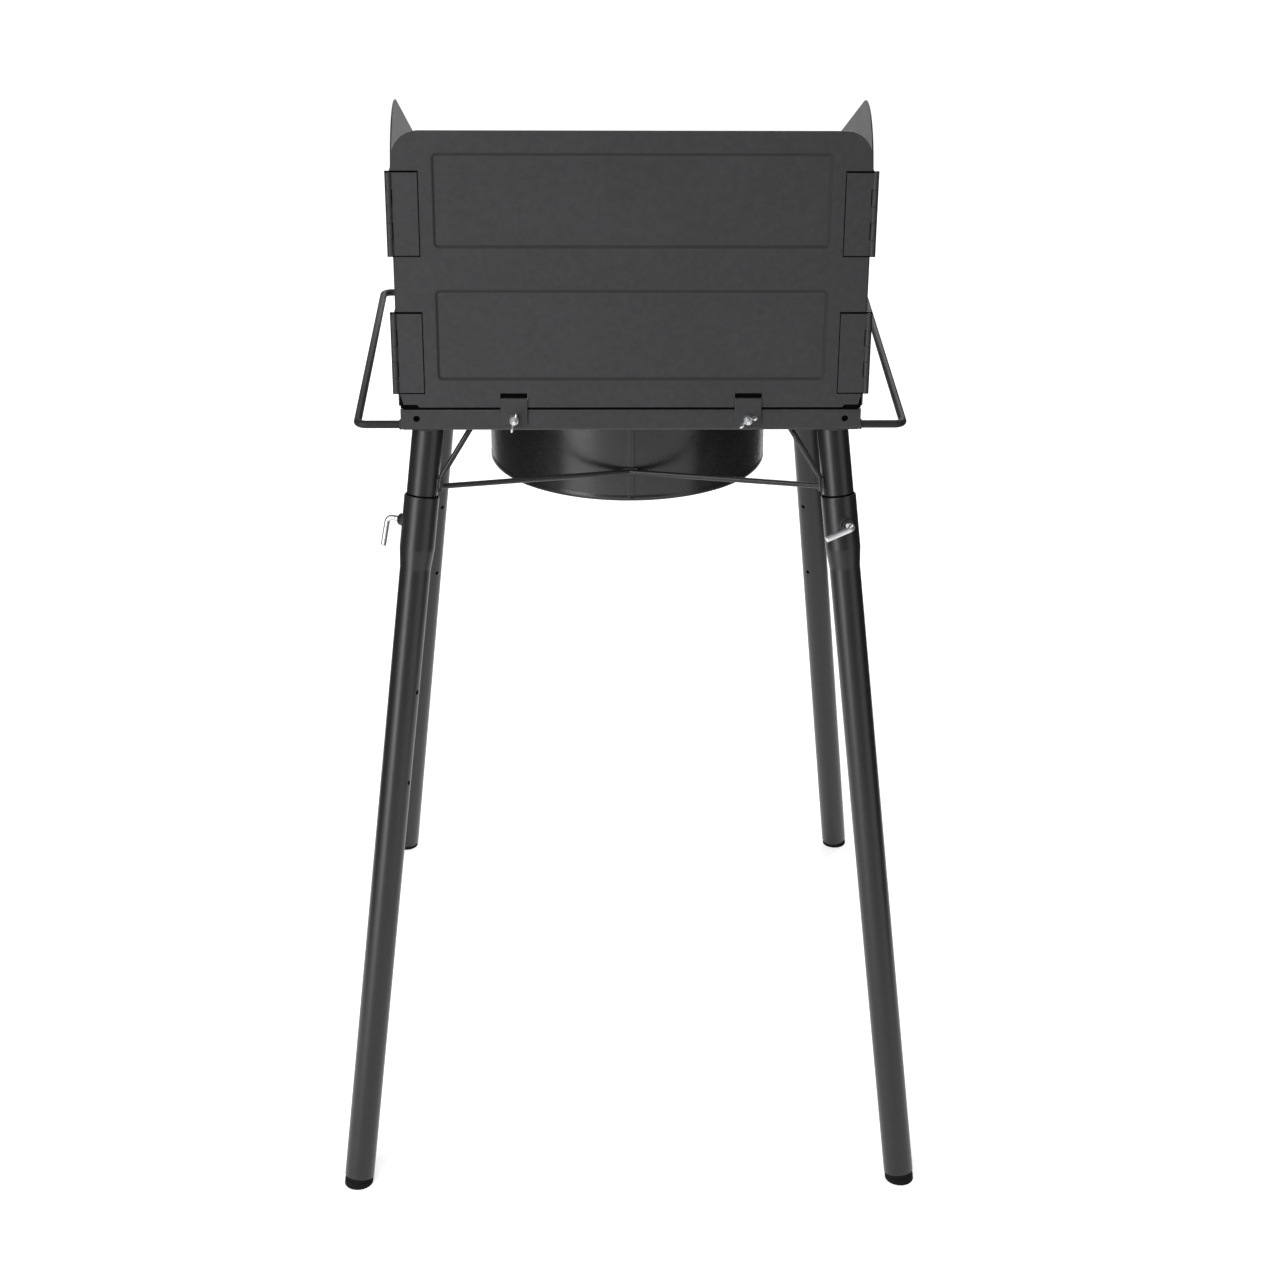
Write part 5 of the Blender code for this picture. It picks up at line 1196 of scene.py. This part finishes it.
def dress_gaps():
    """Painted shade: black pieces in the joint below the windscreen, in the slots above the clips, round the hinge
    leaves and behind the rail's two holes.
    """
    back, face = HALF_DEPTH - SCREEN_SHEET + 0.0001, HALF_DEPTH - 0.0003
    bm = bmesh.new()
    box_into(bm, (-SCREEN_NOTCH, back, FRAME_TOP - 0.0010), (SCREEN_NOTCH, face, SCREEN_LOW + 0.0002))
    for side in (-1, 1):
        x0, x1 = sorted((side * (SCREEN_NOTCH - 0.001), side * (HALF_WIDTH - 0.0030)))
        box_into(bm, (x0, back, FRAME_TOP - 0.0010), (x1, face, SCREEN_LOW + 0.0026))
        # painted shade behind the panel's lower corners, where the wings' feet lie in shadow
        x0, x1 = sorted((side * (HALF_WIDTH - 0.0045), side * (HALF_WIDTH - 0.0002)))
        box_into(bm, (x0, back - 0.0034, FRAME_TOP + 0.0002), (x1, back - 0.0004, SCREEN_LOW + 0.0085))
    trim(piece_from("screen_joint_shade", bm, SHADE))
    bm = bmesh.new()
    reach = CLIP_WIDTH / 2 + GAP / 2
    for side in (-1, 1):
        low, high = CLIP_SLOT_SHADE
        box_into(bm, (side * CLIP_X - reach, back, low), (side * CLIP_X + reach, face, high))
    # a thin black plate behind each panel leaf, a painted shadow line round its edges
    for node in frame["nodes"]:
        if node.endswith("_panel_leaf"):
            low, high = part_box(node)
            box_into(bm, (low[0] - LEAF_SHADE_LINE, HALF_DEPTH - 0.0001, low[2] - LEAF_SHADE_LINE),
                     (high[0] + LEAF_SHADE_LINE, HALF_DEPTH + 0.00015, high[2] + LEAF_SHADE_LINE))
    trim(piece_from("screen_slot_shade", bm, SHADE), BODY_OF["windscreen_back"])
    bm = bmesh.new()
    # black discs behind the rail's holes, for the shadow inside them
    for side in (-1, 1):
        plug_into(bm, RAIL_HOLE_SHADE, HALF_DEPTH - 0.0022, HALF_DEPTH - 0.0016,
                  Matrix.Translation((side * RAIL_HOLE_X, 0, 0)) @ around_y(RAIL_HOLE_Z))
    trim(piece_from("rail_hole_shade", bm, SHADE))


dress_screen_back()
dress_gaps()
for name, side in SIDES.items():
    dress_wing(name, side)
    dress_wing_nut(name, side)
    dress_clip_bolt(name, side)
    refined(f"{name}_clip", 0.0003, GREY)
    for level in ("upper", "lower"):
        refined(f"{name}_{level}_panel_leaf", 0.00015)
        refined(f"{name}_{level}_wing_leaf", 0.00015)


# Camera and studio

CAMERA_PLACE = (0.0373, 2.1491, 1.4184)
CAMERA_TURN = (1.373, 24.803, -0.396)   # yaw, pitch and roll in degrees
CAMERA_LENS = 65.236                    # in millimetres, before a sensor 36 mm wide
ROOM_LIGHT = 0.14                       # of the world on surfaces; what looks at it sees it white
FLOOR_GLOW = ((0.6, 0.52), (3.5, 0.94))  # distance from the stove and glow in the camera's eye
CARDS = {                               # lowest and highest corners of black cards that only reflections see
    "left_card": ((-1.0, -2.0, 0.0), (-0.98, 0.55, 2.4)),
    "right_card": ((0.98, -2.0, 0.0), (1.0, 0.55, 2.4)),
    "rear_card": ((-1.8, 3.0, 0.0), (1.8, 3.02, 2.4)),
    "ceiling_card": ((-1.8, -2.0, 3.5), (1.8, 3.0, 3.52)),
}
LAMPS = {                               # place, aim, side of its square in metres, watts
    "key_softbox": ((1.2, 2.3, 2.1), (0, 0, 0.6), 2.2, 40.0),
    "low_softbox": ((1.5, 1.9, 0.45), (0, 0.2, 0.65), 0.9, 8.0),
    "front_softbox": ((-0.9, -2.3, 2.9), (0, 0, 0.6), 2.0, 36.0),
    "left_softbox": ((-2.6, -1.2, 1.5), (0, 0, 0.6), 1.6, 3.0),
    "right_softbox": ((2.6, -1.2, 1.5), (0, 0, 0.6), 1.6, 12.0),
    "top_softbox": ((0.0, -0.8, 3.2), (0, 0, 0.7), 2.6, 7.0),
}


def look_through_camera():
    yaw, pitch, roll = (math.radians(turn) for turn in CAMERA_TURN)
    forward = Vector((-math.sin(yaw) * math.cos(pitch), -math.cos(yaw) * math.cos(pitch), -math.sin(pitch)))
    right = Vector((-math.cos(yaw), math.sin(yaw), 0))
    down = Vector((math.sin(yaw) * math.sin(pitch), math.cos(yaw) * math.sin(pitch), -math.cos(pitch)))
    across = right * math.cos(roll) + down * math.sin(roll)
    below = down * math.cos(roll) - right * math.sin(roll)
    data = bpy.data.cameras.new("photo_camera")
    data.sensor_width = 36.0
    data.lens = CAMERA_LENS
    data.clip_end = 60.0
    camera = new_object("photo_camera", data)
    turn = Matrix((across, -below, -forward)).transposed().to_4x4()
    turn.translation = CAMERA_PLACE
    camera.matrix_world = turn
    bpy.context.scene.camera = camera


def seen_directly(tree):
    """1 for rays from the camera and for those that gloss or glass send on."""
    rays = tree.add("ShaderNodeLightPath").socket.node
    kinds = ("Camera", "Glossy", "Transmission")
    camera, gloss, glass = (Value(tree, rays.outputs[f"Is {kind} Ray"]) for kind in kinds)
    return camera.math("MAXIMUM", camera.math("MAXIMUM", camera, gloss), glass)


def light_world():
    world = bpy.data.worlds.new("studio_world")
    world.use_nodes = True
    bpy.context.scene.world = world
    tree = Tree(world.node_tree)
    soft, white = (tree.add("ShaderNodeBackground", None, {"Color": (1.0, 1.0, 1.0, 1.0), "Strength": strength})
                   for strength in (ROOM_LIGHT, 1.0))
    surface = tree.add("ShaderNodeMixShader", None, {0: seen_directly(tree), 1: soft, 2: white})
    tree.feed(tree.tree.nodes["World Output"].inputs["Surface"], surface)


def lay_floor():
    """White paper that takes the shadows; its glow keeps it white in the camera's eye and in reflections."""
    paper = bpy.data.materials.new("white_paper")
    paper.use_nodes = True
    tree = Tree(paper.node_tree)
    tree.tree.nodes.remove(tree.tree.nodes["Principled BSDF"])
    plain, faint = (tree.add("ShaderNodeBsdfDiffuse", None, {"Color": (grey, grey, grey, 1.0)}) for grey in (0.8, 0.95))
    place = tree.add("ShaderNodeTexCoord", output="Object")
    away = tree.add("ShaderNodeVectorMath", {"operation": "LENGTH"}, {0: place}, "Value")
    near, far = (tree.add("ShaderNodeEmission", None, {"Strength": glow}) for _, glow in FLOOR_GLOW)
    fade = tree.add("ShaderNodeMapRange", {"clamp": True},
                    {"Value": away, "From Min": FLOOR_GLOW[0][0], "From Max": FLOOR_GLOW[1][0]})
    glow = tree.add("ShaderNodeMixShader", None, {0: fade, 1: near, 2: far})
    bright = tree.add("ShaderNodeAddShader", None, {0: faint, 1: glow})
    surface = tree.add("ShaderNodeMixShader", None, {0: seen_directly(tree), 1: plain, 2: bright})
    tree.feed(tree.tree.nodes["Material Output"].inputs["Surface"], surface)
    bm = bmesh.new()
    bmesh.ops.create_grid(bm, x_segments=1, y_segments=1, size=30.0)
    piece_from("studio_floor", bm, paper)


def stand_cards():
    card = bpy.data.materials.new("black_card")
    card.use_nodes = True
    card.node_tree.nodes["Principled BSDF"].inputs["Base Color"].default_value = (0.03, 0.03, 0.03, 1.0)
    for name, (low, high) in CARDS.items():
        bm = bmesh.new()
        box_into(bm, low, high)
        flag = piece_from(name, bm, card)
        flag.visible_camera = flag.visible_diffuse = flag.visible_shadow = False


def hang_lamps():
    for name, (place, aim, size, power) in LAMPS.items():
        data = bpy.data.lights.new(name, "AREA")
        data.shape = "SQUARE"
        data.size = size
        data.energy = power
        data.spread = math.radians(150)
        lamp = new_object(name, data)
        turn = (Vector(place) - Vector(aim)).to_track_quat("Z", "Y").to_matrix().to_4x4()
        turn.translation = place
        lamp.matrix_world = turn
        lamp.visible_camera = False


look_through_camera()
light_world()
lay_floor()
stand_cards()
hang_lamps()
bpy.context.scene.view_settings.view_transform = "Standard"
